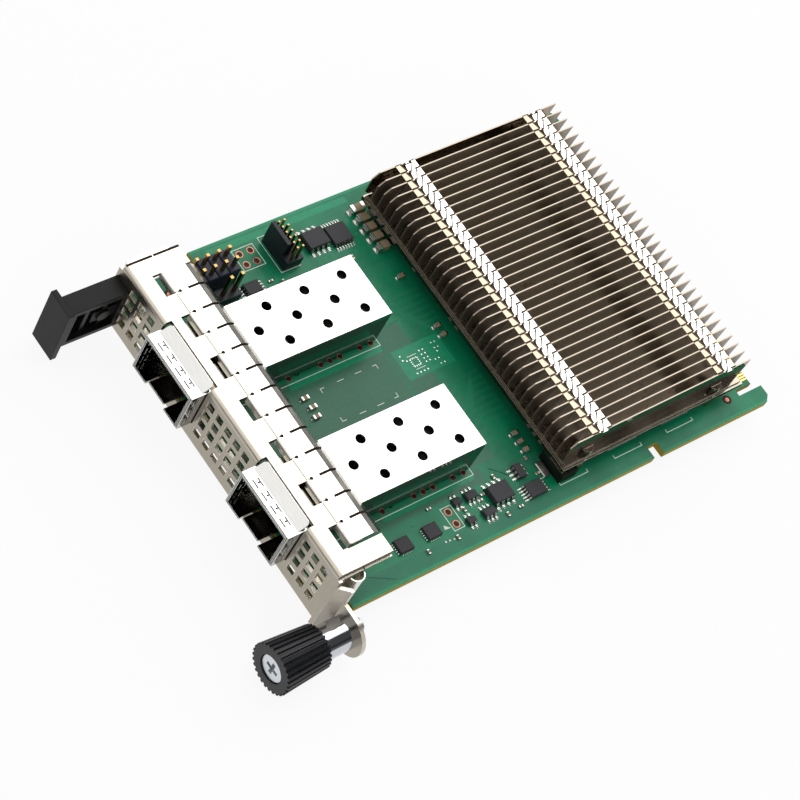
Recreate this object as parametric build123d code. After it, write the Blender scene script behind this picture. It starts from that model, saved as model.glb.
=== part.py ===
from build123d import *
import os
from math import cos, radians, sin

# Circuit board, mm. X runs across the card, Y from the faceplate to the card edge, Z = 0 is the board's top.
BOARD_WIDTH = 76.0
BOARD_THICK = 1.57
BOARD_FRONT = 1.4
BOARD_EDGE = BOARD_WIDTH / 2
STEP_WIDTH = 2.5
NEAR_STEP_Y = 6.0
FAR_STEP_Y = 20.6
SIDE_NOTCH_Y = 82.7
SIDE_NOTCH_WIDTH = 2.6
SIDE_NOTCH_DEPTH = 2.6
EAR_REAR = 114.0
EAR_WIDTH = 3.6
EAR_CHAMFER = 1.3
EDGE_SLOT_FRONT = 107.9
EDGE_SLOT_WIDTH = 1.3
TAB_REAR = 112.4
TAB_BEVEL = 0.35

# Card-edge contacts
CONTACT_PITCH = 0.6
CONTACT_WIDTH = 0.4
CONTACT_LENGTH = 4.2
CONTACT_THICK = 0.05
CONTACT_GROUP_GAP = 4.6
CONTACT_SIDE_MARGIN = 0.9
CONTACT_INSET = 0.4
KEY_SLOT_WIDTH = 1.6
KEY_SLOT_DEPTH = 4.4

# Folded bracket
SHEET = 0.8
FACE_FAR_INSET = 2.4
FACE_NEAR_INSET = 2.1
FACE_FAR_X = FACE_FAR_INSET - BOARD_EDGE
FACE_NEAR_X = BOARD_EDGE - FACE_NEAR_INSET
FACE_TOP = 11.5
FACE_BOTTOM = -3.4
BEND_RADIUS = 1.1
FLANGE_DEPTH = 8.4
WING_DEPTH = 12.4
WING_WIDTH = 3.9
WING_SLIT = 0.5
FLANGE_LIP = 2.4
LIP_SHEET = 0.4
LIP_GAP = 0.3
LIP_GAP_Y = 6.0
LIP_RIDGE = 0.4
LIP_RIDGE_HEIGHT = 0.2
LIP_RIDGE_DROP = 1.2
VENT_SIZE = 1.9
VENT_PITCH_X = 2.8
VENT_PITCH_Z = 2.85
VENT_TOP_Z = 8.4
VENT_ROWS = 4
MID_VENT_COLUMNS = 5
MID_VENT_SHIFT = 0.35
SIDE_VENT_COLUMNS = 3
NEAR_VENT_X = FACE_NEAR_X - 6.7
FAR_VENT_X = FACE_FAR_X + 8.5
WINDOW_WIDTH = 4.8
WINDOW_DEPTH = 2.1
WINDOW_PITCH = 9.52
WINDOW_Y = 4.85
WINDOW_COUNT = int((FACE_NEAR_X - FACE_FAR_X) / WINDOW_PITCH)
FOOT_INSET = 7.8
FOOT_X = BOARD_EDGE - FOOT_INSET
FOOT_WIDTH = 6.4
FOOT_REAR = 7.4
FOOT_HOLE_Y = 4.4

# Finger gasket clipped over the flange
GASKET_SHEET = 0.2
GASKET_FRONT = 5.95
GASKET_REAR = 13.6
GASKET_BEND_Y = 10.9
GASKET_KNEE_Y = 12.35
GASKET_KNEE_DROP = 0.6
GASKET_TIP_CLEAR = 0.15
GASKET_END_MARGIN = 0.1
CLIP_DEPTH = 1.2
CLIP_SETBACK = 0.25
CLIP_SIDE = 0.1
CLIP_ROUND = 0.4
FINGER_PITCH = WINDOW_PITCH / 2
FINGER_SLOT = 0.5
FINGER_SLOT_FRONT = 8.65
FRONT_SLIT = 0.3
FRONT_SLIT_LENGTH = 0.9
FRONT_SLIT_DOT = 0.35

# Side ground springs
SPRING_SHEET = 0.25
SPRING_BULGE = 1.9
SPRING_LOW = 4.8
SPRING_HIGH = 9.6
SPRING_LEAF_CLEAR = 0.1
SPRING_RAMP = 1.2
NEAR_SPRING_SPAN = (2.9, 6.2)
FAR_SPRING_SPAN = (1.4, 12.2)

# Transceiver cages
FAR_CAGE_INSET = 24.15
NEAR_CAGE_INSET = 20.95
CAGE_X = (FAR_CAGE_INSET - BOARD_EDGE, BOARD_EDGE - NEAR_CAGE_INSET)
CAGE_WIDTH = 14.1
CAGE_BOTTOM = 0.5
CAGE_TOP = 9.8
CAGE_FRONT = -3.5
CAGE_REAR = 43.8
CAGE_SHEET = 0.35
CAGE_VENT_RADIUS = 1.0
CAGE_VENT_PITCH_X = 3.95
CAGE_VENT_PITCH_Y = 8.95
CAGE_VENT_INSET = 13.3
CAGE_VENT_STAGGER = -4.5
LATCH_NOTCH_WIDTH = 6.1
LATCH_NOTCH_DEPTH = 7.0
LATCH_TONGUE_WIDTH = 5.0
LATCH_TONGUE_LENGTH = 9.0
LATCH_TONGUE_RISE = 0.7
LATCH_TONGUE_START = 0.2
LATCH_TONGUE_FLAT = 1.4
LEG_WIDTH = 0.7
LEG_DROP = 0.7
LEG_CLEAR = 0.1
LEG_Y = (7.0, 16.0, 25.0, 34.0, 42.0)

# Grounding collar round each cage mouth
COLLAR_SHEET = 0.35
COLLAR_FRONT = -3.3
COLLAR_REAR = 1.35
COLLAR_SLOT_LENGTH = 1.9
COLLAR_SLOT_WIDTH = 0.3
COLLAR_FRONT_SLOT_Y = -2.45
COLLAR_REAR_SLOT_Y = -1.3
COLLAR_SLIT_LENGTH = 0.6
COLLAR_SLOT_PITCH = 2.87
COLLAR_TOP_SLOTS = 4
COLLAR_SIDE_SLOTS = 3
RAMP_FRONT = -0.95
RAMP_REAR = 1.45
RAMP_FOOT = 0.7
RAMP_CORNER = 0.7
RAMP_CLEAR = 0.1
PORT_CLEAR = 0.2
PORT_CORNER = 0.8

# Connector inside each cage
CONNECTOR_SIDE_CLEAR = 0.4
CONNECTOR_TOP_CLEAR = 0.85
CONNECTOR_REAR_CLEAR = 0.85
CONNECTOR_FLOOR_CLEAR = 1.1
CONNECTOR_DEPTH = 12.0
CONNECTOR_WIDTH = CAGE_WIDTH - 2 * (CAGE_SHEET + CONNECTOR_SIDE_CLEAR)
CONNECTOR_REAR = CAGE_REAR - CAGE_SHEET - CONNECTOR_REAR_CLEAR
CONNECTOR_FRONT = CONNECTOR_REAR - CONNECTOR_DEPTH
CONNECTOR_HEIGHT = CAGE_TOP - CAGE_SHEET - CONNECTOR_TOP_CLEAR
CONNECTOR_WALL = 1.1
CONNECTOR_MOUTH_DEPTH = 5.6
CONNECTOR_MOUTH_HEIGHT = 2.2
CONNECTOR_MOUTH_Z = 4.9
CONNECTOR_CHAMFER = 1.0

# Heatsink
BASE_FAR_INSET = 4.2
BASE_NEAR_INSET = 4.4
BASE_FAR_X = BASE_FAR_INSET - BOARD_EDGE
BASE_NEAR_X = BOARD_EDGE - BASE_NEAR_INSET
BASE_FRONT = 58.8
BASE_REAR = 107.0
BASE_BOTTOM = 2.9
BASE_TOP = 4.5
BASE_STEP = 0.5
BASE_STEP_HEIGHT = 0.5
FIN_PITCH = 1.99
FIN_FIRST_INSET = 0.3
FIN_SHEET = 0.25
FIN_FIRST_X = BASE_FAR_X + FIN_FIRST_INSET
FIN_COUNT = 1 + int((BASE_NEAR_X - FIN_FIRST_X) / FIN_PITCH)
FIN_FRONT = 58.5
FIN_REAR = 106.0
FIN_TOP = 11.3
FIN_CHAMFER = 1.3
FIN_FOOT = 1.5
FIN_REAR_RAKE = 0.5
ZIP_FRONT_Y = (63.7, 97.0)
ZIP_WIDTH = 4.8
ZIP_TONGUE = 0.75
ZIP_SEAM = 0.13
ZIP_SKEW = 0.55
ZIP_ROOT = 1.4
ZIP_TIP = 1.9
ZIP_OFFSET = 0.25
ZIP_CUT_CLEAR = 0.02
ZIP_GAP_FRONT = 1.35
ZIP_GAP_WIDTH = 0.95
ZIP_GAP_REACH = 1.45
SCREW_INSET_X = 2.0
SCREW_FRONT_Y = 65.3
SCREW_REAR_Y = 99.8
SINK_SCREW_HEAD_R = 1.45
SINK_SCREW_HEAD_H = 1.3
SINK_SCREW_R = 0.9
SINK_NOTCH_CLEAR = 0.5
STANDOFF_R = 1.6

# Controller chip under the heatsink
CHIP_CENTRE = (-0.1, 83.0)
SUBSTRATE_SIZE = 25.0
SUBSTRATE_HEIGHT = 1.1
LID_SIZE = 20.0
LID_HEIGHT = 1.1
PAD_HEIGHT = 0.3

# Captive thumbscrew
THUMB_REACH = 3.0
THUMB_X = BOARD_EDGE + THUMB_REACH
THUMB_Z = -0.5
THUMB_EAR_FRONT = 2.0
THUMB_EAR_R = 4.9
THUMB_JOG = 1.7
THUMB_EAR_OVERLAP = 1.0
EAR_SHOULDER_Z = 8.6
EAR_SHOULDER_REACH = 0.3
THUMB_JOG_RELIEF = 0.32
SLEEVE_R = 3.3
SLEEVE_BORE_R = 2.65
SLEEVE_LENGTH = 8.0
SLEEVE_WALL = 0.8
SPIGOT_R = 2.3
SPIGOT_LIP_R = 2.8
SPIGOT_LIP = 0.5
SLEEVE_HOLE_R = 1.85
KNOB_LENGTH = 10.3
KNOB_GAP = 6.4
KNOB_FRONT_R = 5.05
KNOB_REAR_R = 4.3
KNOB_RIBS = 28
KNOB_RIB_DEPTH = 0.42
KNOB_RIB_LAND = 0.42
KNOB_RIB_FLANK = 0.14
KNOB_WEB = 1.5
KNOB_SLEEVE_CLEAR = 0.3
SCREW_HEAD_R = 2.85
SCREW_HEAD_H = 2.0
SCREW_HEAD_RECESS = 0.3
SCREW_SHANK_R = 1.2
SCREW_THREAD_R = 1.5
SCREW_THREAD_CLEAR = 0.2
SCREW_TIP = 2.8
SCREW_TIP_CHAMFER = 0.3
CROSS_LENGTH = 3.0
CROSS_WIDTH = 0.8
CROSS_DEPTH = 1.1
WASHER_R = 2.5
WASHER_H = 0.5
WASHER_CLEAR = 0.08
AXIAL_CLEAR = 0.1
COIL_R = 2.2
COIL_WIRE = 0.4
COIL_TURNS = 6

# Pull tab
TAB_INSET = 0.4
TAB_WIDTH = 4.2
TAB_FAR_X = FACE_FAR_X + TAB_INSET
TAB_NEAR_X = TAB_FAR_X + TAB_WIDTH
TAB_LOW = -2.4
TAB_HIGH = 8.3
TAB_ARM_LENGTH = 12.4
TAB_WALL = 1.1
TAB_RIB = 0.9
TAB_BOSS_R = 1.4
TAB_BOSS = (-3.7, 2.2)
TAB_RIB_Y = -7.7
GRIP_DEPTH = 2.1
GRIP_FLARE_Z = 1.6
GRIP_FLARE_X = 1.0
GRIP_EDGE = 0.9
TAB_SCREW_R = 1.0
TAB_SCREW_HEAD_R = 1.6
TAB_SCREW_HEAD_H = 1.2
TAB_SCREW_BITE = 5.0

# Pin headers: X inset of the centre from the far edge, centre Y, columns along X, rows along Y
PIN_PITCH = 2.54
PIN_SIZE = 0.64
PIN_TOP = 8.4
PIN_TAIL = 0.9
PIN_CLEAR = 0.06
HEADER_HEIGHT = 2.5
HEADER_A_INSET = 7.05
HEADER_A_Y = 19.8
HEADER_B_INSET = 11.7
HEADER_B_Y = 21.3
FINE_PITCH = 1.27
FINE_PIN_SIZE = 0.4
FINE_PIN_TOP = 6.5
FINE_HEADER_INSET = 7.1
FINE_HEADER_Y = 38.0
FINE_HEADER_MARGIN = 0.7
GUARD_WIDTH = 5.7
GUARD_WALL = 0.9
GUARD_HEIGHT = 6.2
HEADER_GRIDS = {
    "header_base_front": ((HEADER_A_INSET - BOARD_EDGE, HEADER_A_Y), 2, 4, PIN_PITCH, PIN_SIZE, PIN_TOP),
    "header_base_pair": ((HEADER_B_INSET - BOARD_EDGE, HEADER_B_Y), 1, 2, PIN_PITCH, PIN_SIZE, PIN_TOP),
    "header_base_rear": ((FINE_HEADER_INSET - BOARD_EDGE, FINE_HEADER_Y), 6, 2, FINE_PITCH, FINE_PIN_SIZE,
                         FINE_PIN_TOP),
}

# Press nuts and screws that hold the bracket to the board
NUT_R = 1.7
NUT_H = 1.0
FOOT_SCREW_R = 1.0
FOOT_SCREW_HEAD_R = 1.8
FOOT_SCREW_HEAD_H = 0.7
HOLE_CLEAR = 0.15

# Chips: centre (X from its board edge, Y), body (x, y, height), lead pitch, lead axis
CHIPS = {
    "chip_memory_far": ((7.5 - BOARD_EDGE, 45.8), (3.9, 4.9, 1.5), 1.27, "x"),
    "chip_logic_far": ((8.2 - BOARD_EDGE, 51.3), (4.2, 4.6, 1.0), 0.65, "x"),
    "chip_logic_front": ((11.9 - BOARD_EDGE, 27.7), (2.6, 3.4, 1.0), 0.65, "y"),
    "chip_memory_near": ((BOARD_EDGE - 7.1, 46.3), (3.6, 4.6, 1.5), 1.27, "x"),
    "chip_logic_near": ((BOARD_EDGE - 4.9, 53.6), (3.0, 4.0, 1.0), 0.65, "y"),
}
SMALL_CHIPS = (
    ((BOARD_EDGE - 9.3, 52.9), (2.9, 1.7, 1.1), 0.95, "y"),
    ((BOARD_EDGE - 9.1, 40.7), (1.5, 2.6, 1.0), 0.95, "x"),
    ((BOARD_EDGE - 4.7, 41.9), (1.5, 2.6, 1.0), 0.95, "x"),
    ((BOARD_EDGE - 9.2, 37.3), (1.2, 1.9, 0.9), 0.95, "x"),
    ((BOARD_EDGE - 4.8, 37.6), (1.2, 1.9, 0.9), 0.95, "x"),
)
LEAD_REACH = 0.9
LEAD_KNEE = 0.4
LEAD_SHEET = 0.16
LEAD_SHARE = 0.45
LEAD_SHOULDER_SHARE = 0.45
POWER_CHIPS = {"chip_power_front": (BOARD_EDGE - 6.3, 22.2), "chip_power_rear": (BOARD_EDGE - 6.3, 29.0)}
POWER_CHIP_SIZE = (2.8, 3.2, 0.85)
CHIP_EDGE = 0.12

# Ceramic capacitors: centre, body size along (x, y, z)
BULK_CAP_COUNT = 5
BULK_CAP_PITCH = 2.33
BULK_CAP_INSET = 4.8
BULK_CAP_Y = 58.4
BULK_CAPS = tuple((BULK_CAP_INSET - BOARD_EDGE + BULK_CAP_PITCH * i, BULK_CAP_Y) for i in range(BULK_CAP_COUNT))
BULK_CAP_SIZE = (1.65, 3.2, 1.4)
SMALL_CAPS = ((-16.8, 57.6), (-4.5, 57.6), (-2.4, 57.6), (21.6, 57.4), (23.5, 57.4), (25.4, 57.4),
              (-1.8, 23.1), (0.4, 23.4), (2.4, 22.9))
SMALL_CAP_SIZE = (0.85, 1.6, 0.75)
CAP_END_SHARE = 0.24

# Oscillator and power choke at the heatsink's near front corner
CRYSTAL_CENTRE = (BOARD_EDGE - 7.6, 57.6)
CRYSTAL_SIZE = (3.2, 1.6, 0.8)
CHOKE_CENTRE = (BOARD_EDGE - 7.1, 61.0)
CHOKE_SIZE = (6.4, 4.2, 2.6)


def block(x0, x1, y0, y1, z0, z1):
    """Return a box between the given limits."""
    return Pos((x0 + x1) / 2, (y0 + y1) / 2, (z0 + z1) / 2) * Box(x1 - x0, y1 - y0, z1 - z0)


def rod(radius, y0, y1, x=THUMB_X, z=THUMB_Z):
    """Return a cylinder along Y."""
    return Pos(x, (y0 + y1) / 2, z) * Rot(90, 0, 0) * Cylinder(radius, y1 - y0)


def post(radius, x, y, z0, z1):
    """Return a cylinder along Z."""
    return Pos(x, y, (z0 + z1) / 2) * Cylinder(radius, z1 - z0)


def group(solids):
    """Return separate solids as one compound."""
    return Compound(children=list(solids))


def cuts(body, tools):
    """Return the body with a list of tools taken out in one operation."""
    return body - Compound(children=list(tools)) if tools else body


def pin_places(header):
    """Return the pin centres of one header."""
    (cx, cy), columns, rows, pitch = header[:4]
    return [(cx + (i - (columns - 1) / 2) * pitch, cy + (j - (rows - 1) / 2) * pitch)
            for i in range(columns) for j in range(rows)]


def all_pins():
    """Return the centre, side and top of each pin of every header."""
    return [(x, y, header[4], header[5]) for header in HEADER_GRIDS.values() for x, y in pin_places(header)]


def lead_count(size, pitch, axis):
    """Return how many leads fit along each leaded side of a chip."""
    return int(size[1 if axis == "x" else 0] / pitch + 0.5)


def leg_places(centres=CAGE_X):
    """Return the centre of each leg of the given cages."""
    offset = CAGE_WIDTH / 2 - CAGE_SHEET / 2
    return [(cx + side * offset, y) for cx in centres for side in (-1, 1) for y in LEG_Y]


def window_places():
    """Return the lowest and highest X of each flange window."""
    starts = [(i - (WINDOW_COUNT - 1) / 2) * WINDOW_PITCH - FINGER_PITCH / 2 for i in range(WINDOW_COUNT)]
    return [(x, x + WINDOW_WIDTH) for x in starts]


def gasket_span():
    """Return the lowest and highest X of the finger gasket, between the flange's wings."""
    low = FACE_FAR_X + SHEET + WING_WIDTH + GASKET_END_MARGIN
    return low, FACE_NEAR_X - SHEET - WING_WIDTH - WING_SLIT - GASKET_END_MARGIN


def slot_tools(centre_x, low, high):
    """Tools for the spring-finger slots in the top of one cage mouth and its collar."""
    half, cut = COLLAR_SLOT_LENGTH / 2, COLLAR_SLOT_WIDTH / 2
    tools = []
    for i in range(COLLAR_TOP_SLOTS):
        x = centre_x + (i - (COLLAR_TOP_SLOTS - 1) / 2) * COLLAR_SLOT_PITCH
        tools += [block(x - half, x + half, y - cut, y + cut, low, high)
                  for y in (COLLAR_FRONT_SLOT_Y, COLLAR_REAR_SLOT_Y)]
        tools.append(block(x - cut, x + cut, COLLAR_REAR_SLOT_Y - COLLAR_SLIT_LENGTH, COLLAR_REAR_SLOT_Y, low, high))
    return tools


def side_slot_tools(centre_x, reach):
    """Tools for the slots in both sides of one cage mouth and its collar."""
    half, cut = COLLAR_SLOT_LENGTH / 2, COLLAR_SLOT_WIDTH / 2
    tools = []
    for i in range(COLLAR_SIDE_SLOTS):
        z = (CAGE_BOTTOM + CAGE_TOP) / 2 + (i - (COLLAR_SIDE_SLOTS - 1) / 2) * COLLAR_SLOT_PITCH
        tools += [block(centre_x - reach, centre_x + reach, y - cut, y + cut, z - half, z + half)
                  for y in (COLLAR_FRONT_SLOT_Y, COLLAR_REAR_SLOT_Y)]
    return tools


def sink_screw_places():
    """Return the four heatsink screw positions."""
    return [(x, y) for x in (BASE_FAR_X + SCREW_INSET_X, BASE_NEAR_X - SCREW_INSET_X)
            for y in (SCREW_FRONT_Y, SCREW_REAR_Y)]


def contact_groups():
    """Return the number of contacts in each group across the card edge."""
    tab = 2 * (BOARD_EDGE - EAR_WIDTH - EDGE_SLOT_WIDTH - CONTACT_SIDE_MARGIN)
    share = int((tab - 3 * CONTACT_GROUP_GAP) / CONTACT_PITCH) // 6
    return (share, 2 * share, share, 2 * share)


def contact_places():
    """Return the X centre of each card-edge contact and of each gap between groups."""
    groups = contact_groups()
    x = -(sum(groups) * CONTACT_PITCH + (len(groups) - 1) * CONTACT_GROUP_GAP) / 2
    contacts, gaps = [], []
    for index, count in enumerate(groups):
        contacts += [x + (i + 0.5) * CONTACT_PITCH for i in range(count)]
        x += count * CONTACT_PITCH
        if index < len(groups) - 1:
            gaps.append(x + CONTACT_GROUP_GAP / 2)
            x += CONTACT_GROUP_GAP
    return contacts, gaps


def circuit_board():
    """Board with stepped front corners, side notch, rear ears, keyed card edge and its holes."""
    half = BOARD_EDGE
    low = -BOARD_THICK
    board = block(-half, half, BOARD_FRONT, EAR_REAR, low, 0)
    ear_inner = half - EAR_WIDTH
    corner_cuts = [
        block(half - STEP_WIDTH, half + 1, 0, NEAR_STEP_Y, low - 1, 1),
        block(-half - 1, STEP_WIDTH - half, 0, FAR_STEP_Y, low - 1, 1),
        block(-ear_inner, ear_inner, TAB_REAR, EAR_REAR + 1, low - 1, 1),
    ]
    slots = [block(side * (ear_inner - EDGE_SLOT_WIDTH / 2) - EDGE_SLOT_WIDTH / 2,
                   side * (ear_inner - EDGE_SLOT_WIDTH / 2) + EDGE_SLOT_WIDTH / 2,
                   EDGE_SLOT_FRONT, EAR_REAR + 1, low - 1, 1) for side in (-1, 1)]
    notches = [block(min(side * half, side * (half - SIDE_NOTCH_DEPTH)),
                     max(side * half, side * (half - SIDE_NOTCH_DEPTH)),
                     SIDE_NOTCH_Y - SIDE_NOTCH_WIDTH / 2, SIDE_NOTCH_Y + SIDE_NOTCH_WIDTH / 2, low - 1, 1)
               for side in (-1, 1)]
    keys = [block(x - KEY_SLOT_WIDTH / 2, x + KEY_SLOT_WIDTH / 2, TAB_REAR - KEY_SLOT_DEPTH, TAB_REAR + 1,
                  low - 1, 1) for x in contact_places()[1]]
    board = cuts(board, corner_cuts + slots + notches + keys)
    tips = board.edges().filter_by(Axis.Z).filter_by(
        lambda edge: abs(edge.center().Y - EAR_REAR) < 0.01 and abs(edge.center().X) > half - 0.1)
    board = chamfer(tips, EAR_CHAMFER)
    tab_edges = board.edges().filter_by(Axis.X).filter_by(
        lambda edge: abs(edge.center().Y - TAB_REAR) < 0.01 and edge.length > CONTACT_PITCH * contact_groups()[0])
    board = chamfer(tab_edges, TAB_BEVEL)
    leg_x = CAGE_SHEET / 2 + LEG_CLEAR
    leg_y = LEG_WIDTH / 2 + LEG_CLEAR
    holes = [Pos(x, y, 0) * Box(side + 2 * PIN_CLEAR, side + 2 * PIN_CLEAR, 2 * BOARD_THICK + 2)
             for x, y, side, top in all_pins()]
    holes += [block(x - leg_x, x + leg_x, y - leg_y, y + leg_y, low - 1, 1) for x, y in leg_places()]
    holes += [post(SINK_SCREW_R + HOLE_CLEAR, x, y, low - 1, 1) for x, y in sink_screw_places()]
    holes += [post(FOOT_SCREW_R + HOLE_CLEAR, side * FOOT_X, FOOT_HOLE_Y, low - 1, 1) for side in (-1, 1)]
    return cuts(board, holes)


def edge_contacts():
    """Gold contacts on both faces of the card edge."""
    rear = TAB_REAR - CONTACT_INSET
    solids = []
    for x in contact_places()[0]:
        for z in (0, -BOARD_THICK - CONTACT_THICK):
            solids.append(block(x - CONTACT_WIDTH / 2, x + CONTACT_WIDTH / 2, rear - CONTACT_LENGTH, rear,
                                z, z + CONTACT_THICK))
    return group(solids)


def vent_grid(centre_x, columns):
    """Square tools for one block of faceplate vents."""
    half = VENT_SIZE / 2
    tools = []
    for i in range(columns):
        for j in range(VENT_ROWS):
            x = centre_x + (i - (columns - 1) / 2) * VENT_PITCH_X
            z = VENT_TOP_Z - j * VENT_PITCH_Z
            tools.append(block(x - half, x + half, -1, SHEET + 1, z - half, z + half))
    return tools


def port_cutout(centre_x):
    """Tool for one port opening, which also notches the folded edge of the flange."""
    half = CAGE_WIDTH / 2 + COLLAR_SHEET + PORT_CLEAR
    bottom = CAGE_BOTTOM - COLLAR_SHEET - PORT_CLEAR
    hole = block(centre_x - half, centre_x + half, -1, SHEET + 1, bottom, FACE_TOP + 1)
    notch = block(centre_x - half, centre_x + half, -1, RAMP_REAR + RAMP_CLEAR, CAGE_TOP, FACE_TOP + 1)
    corners = notch.edges().filter_by(Axis.Z).group_by(Axis.Y)[-1]
    return hole + fillet(corners, PORT_CORNER)


def thumb_ear():
    """Jogged ear at the near end of the faceplate, with a tall shoulder, a round end and the sleeve's hole."""
    front, rear = THUMB_EAR_FRONT, THUMB_EAR_FRONT + SHEET
    start = FACE_NEAR_X - THUMB_EAR_OVERLAP
    tip = THUMB_X + THUMB_EAR_R
    jog = FACE_NEAR_X + THUMB_JOG
    outline = Polyline((start, 0), (FACE_NEAR_X, 0), (jog, front), (tip, front), (tip, rear),
                       (jog - THUMB_JOG_RELIEF, rear), (FACE_NEAR_X - THUMB_JOG_RELIEF, SHEET), (start, SHEET),
                       close=True)
    low = THUMB_Z - THUMB_EAR_R
    ear = Pos(0, 0, low) * extrude(make_face(outline), EAR_SHOULDER_Z - low)
    shape = rod(THUMB_EAR_R, -1, rear + 1) + block(start, THUMB_X, -1, rear + 1, low, THUMB_Z + THUMB_EAR_R)
    shape = shape + block(start, jog + EAR_SHOULDER_REACH, -1, rear + 1, low, EAR_SHOULDER_Z)
    return (ear & shape) - rod(SPIGOT_R, -1, rear + 1)


def io_bracket():
    """Faceplate and top flange folded from one sheet, with vents, ports, windows, feet and the screw ear."""
    face = block(FACE_FAR_X, FACE_NEAR_X, 0, SHEET, FACE_BOTTOM, FACE_TOP)
    flange = block(FACE_FAR_X + SHEET, FACE_NEAR_X - SHEET, 0, FLANGE_DEPTH, FACE_TOP - SHEET, FACE_TOP)
    sheet = face + flange
    fold = sheet.edges().filter_by(Axis.X).filter_by(
        lambda edge: abs(edge.center().Y) < 0.01 and abs(edge.center().Z - FACE_TOP) < 0.01)
    sheet = fillet(fold, BEND_RADIUS)
    far_end, near_end = FACE_FAR_X + SHEET, FACE_NEAR_X - SHEET
    wings = [block(x, x + WING_WIDTH, SHEET, WING_DEPTH, FACE_TOP - SHEET, FACE_TOP)
             for x in (far_end, near_end - WING_WIDTH)]
    ridge = FACE_TOP - LIP_RIDGE_DROP
    lips = []
    for y0, y1 in ((SHEET, LIP_GAP_Y - LIP_GAP / 2), (LIP_GAP_Y + LIP_GAP / 2, WING_DEPTH)):
        for x, outward in ((far_end + LIP_SHEET, -1), (near_end - LIP_SHEET, 1)):
            for reach, low, high in ((LIP_SHEET, FACE_TOP - FLANGE_LIP, FACE_TOP),
                                     (LIP_SHEET + LIP_RIDGE, ridge - LIP_RIDGE_HEIGHT, ridge)):
                lips.append(block(min(x, x + outward * reach), max(x, x + outward * reach), y0, y1, low, high))
    feet = [block(side * FOOT_X - FOOT_WIDTH / 2, side * FOOT_X + FOOT_WIDTH / 2, 0, FOOT_REAR,
                  -BOARD_THICK - SHEET, -BOARD_THICK) for side in (-1, 1)]
    reliefs = [block(x - 1, x + 1, -1, SHEET, FACE_TOP - BEND_RADIUS, FACE_TOP + 1)
               for x in (far_end - 1, near_end + 1)]
    sheet = cuts(sheet, reliefs)
    for piece in wings + lips + feet + [thumb_ear()]:
        sheet = sheet + piece
    windows = [block(x0, x1, WINDOW_Y - WINDOW_DEPTH / 2, WINDOW_Y + WINDOW_DEPTH / 2, FACE_TOP - SHEET - 1,
                     FACE_TOP + 1) for x0, x1 in window_places()]
    windows.append(block(near_end - WING_WIDTH - WING_SLIT, near_end - WING_WIDTH, WINDOW_Y, WING_DEPTH,
                         FACE_TOP - SHEET - 1, FACE_TOP + 1))
    vents = (vent_grid(sum(CAGE_X) / 2 - MID_VENT_SHIFT, MID_VENT_COLUMNS) + vent_grid(NEAR_VENT_X, SIDE_VENT_COLUMNS)
             + vent_grid(FAR_VENT_X, SIDE_VENT_COLUMNS))
    holes = [post(FOOT_SCREW_R, side * FOOT_X, FOOT_HOLE_Y, -BOARD_THICK - SHEET - 1, -BOARD_THICK)
             for side in (-1, 1)]
    tab_x = (TAB_FAR_X + TAB_NEAR_X) / 2
    tab_hole = rod(TAB_SCREW_R, -1, SHEET + 1, tab_x, TAB_BOSS[1])
    return cuts(sheet, windows + vents + holes + [port_cutout(x) for x in CAGE_X] + [tab_hole])


def finger_gasket():
    """Strip on the flange with clips through its windows and spring fingers sloping down towards the cages."""
    x0, x1 = gasket_span()
    t = GASKET_SHEET
    top = FACE_TOP + t
    drop = CAGE_TOP + GASKET_TIP_CLEAR
    profile = Polyline((0, GASKET_FRONT, FACE_TOP), (0, GASKET_BEND_Y, FACE_TOP),
                       (0, GASKET_KNEE_Y - t / 2, FACE_TOP - GASKET_KNEE_DROP), (0, GASKET_REAR - t, drop),
                       (0, GASKET_REAR, drop + t / 2), (0, GASKET_KNEE_Y, top - GASKET_KNEE_DROP),
                       (0, GASKET_BEND_Y + t / 2, top), (0, GASKET_FRONT, top), close=True)
    strip = Pos(x0, 0, 0) * extrude(make_face(profile), amount=x1 - x0, dir=(1, 0, 0))
    edge = WINDOW_Y + WINDOW_DEPTH / 2
    inside = edge - CLIP_SETBACK
    clip = Polyline((0, GASKET_FRONT, FACE_TOP), (0, edge, FACE_TOP), (0, inside, FACE_TOP - CLIP_SETBACK),
                    (0, inside, FACE_TOP - CLIP_DEPTH), (0, inside - t, FACE_TOP - CLIP_DEPTH),
                    (0, inside - t, FACE_TOP - CLIP_ROUND / 2), (0, inside, FACE_TOP + t / 2),
                    (0, GASKET_FRONT, top), close=True)
    for low, high in window_places():
        low, high = max(low + CLIP_SIDE, x0), min(high - CLIP_SIDE, x1)
        strip = strip + Pos(low, 0, 0) * extrude(make_face(clip), amount=high - low, dir=(1, 0, 0))
    tools = []
    slots = int((x1 - x0) / FINGER_PITCH)
    for i in range(-(slots // 2), slots // 2 + 1):
        x = i * FINGER_PITCH - FINGER_PITCH / 2
        if x0 + 1 < x < x1 - 1:
            tools.append(block(x - FINGER_SLOT / 2, x + FINGER_SLOT / 2, FINGER_SLOT_FRONT,
                               GASKET_REAR + 1, drop - 1, top + 1))
            tools.append(block(x - FRONT_SLIT / 2, x + FRONT_SLIT / 2, GASKET_FRONT - 1,
                               GASKET_FRONT + FRONT_SLIT_LENGTH, FACE_TOP - 1, top + 1))
            dot = RegularPolygon(FRONT_SLIT_DOT, 8)
            tools.append(Pos(x, GASKET_FRONT + FRONT_SLIT_LENGTH, FACE_TOP - 1) * extrude(dot, 2))
    return cuts(strip, tools)


def spring_leaf(y1, outward, wall_x):
    """Flat leaf that holds a side spring against the bracket's end lip."""
    top = FACE_TOP - LIP_RIDGE_DROP - LIP_RIDGE_HEIGHT - SPRING_LEAF_CLEAR
    reach = wall_x + outward * SPRING_SHEET
    return block(min(wall_x, reach), max(wall_x, reach), SHEET, y1, SPRING_LOW, top)


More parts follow.
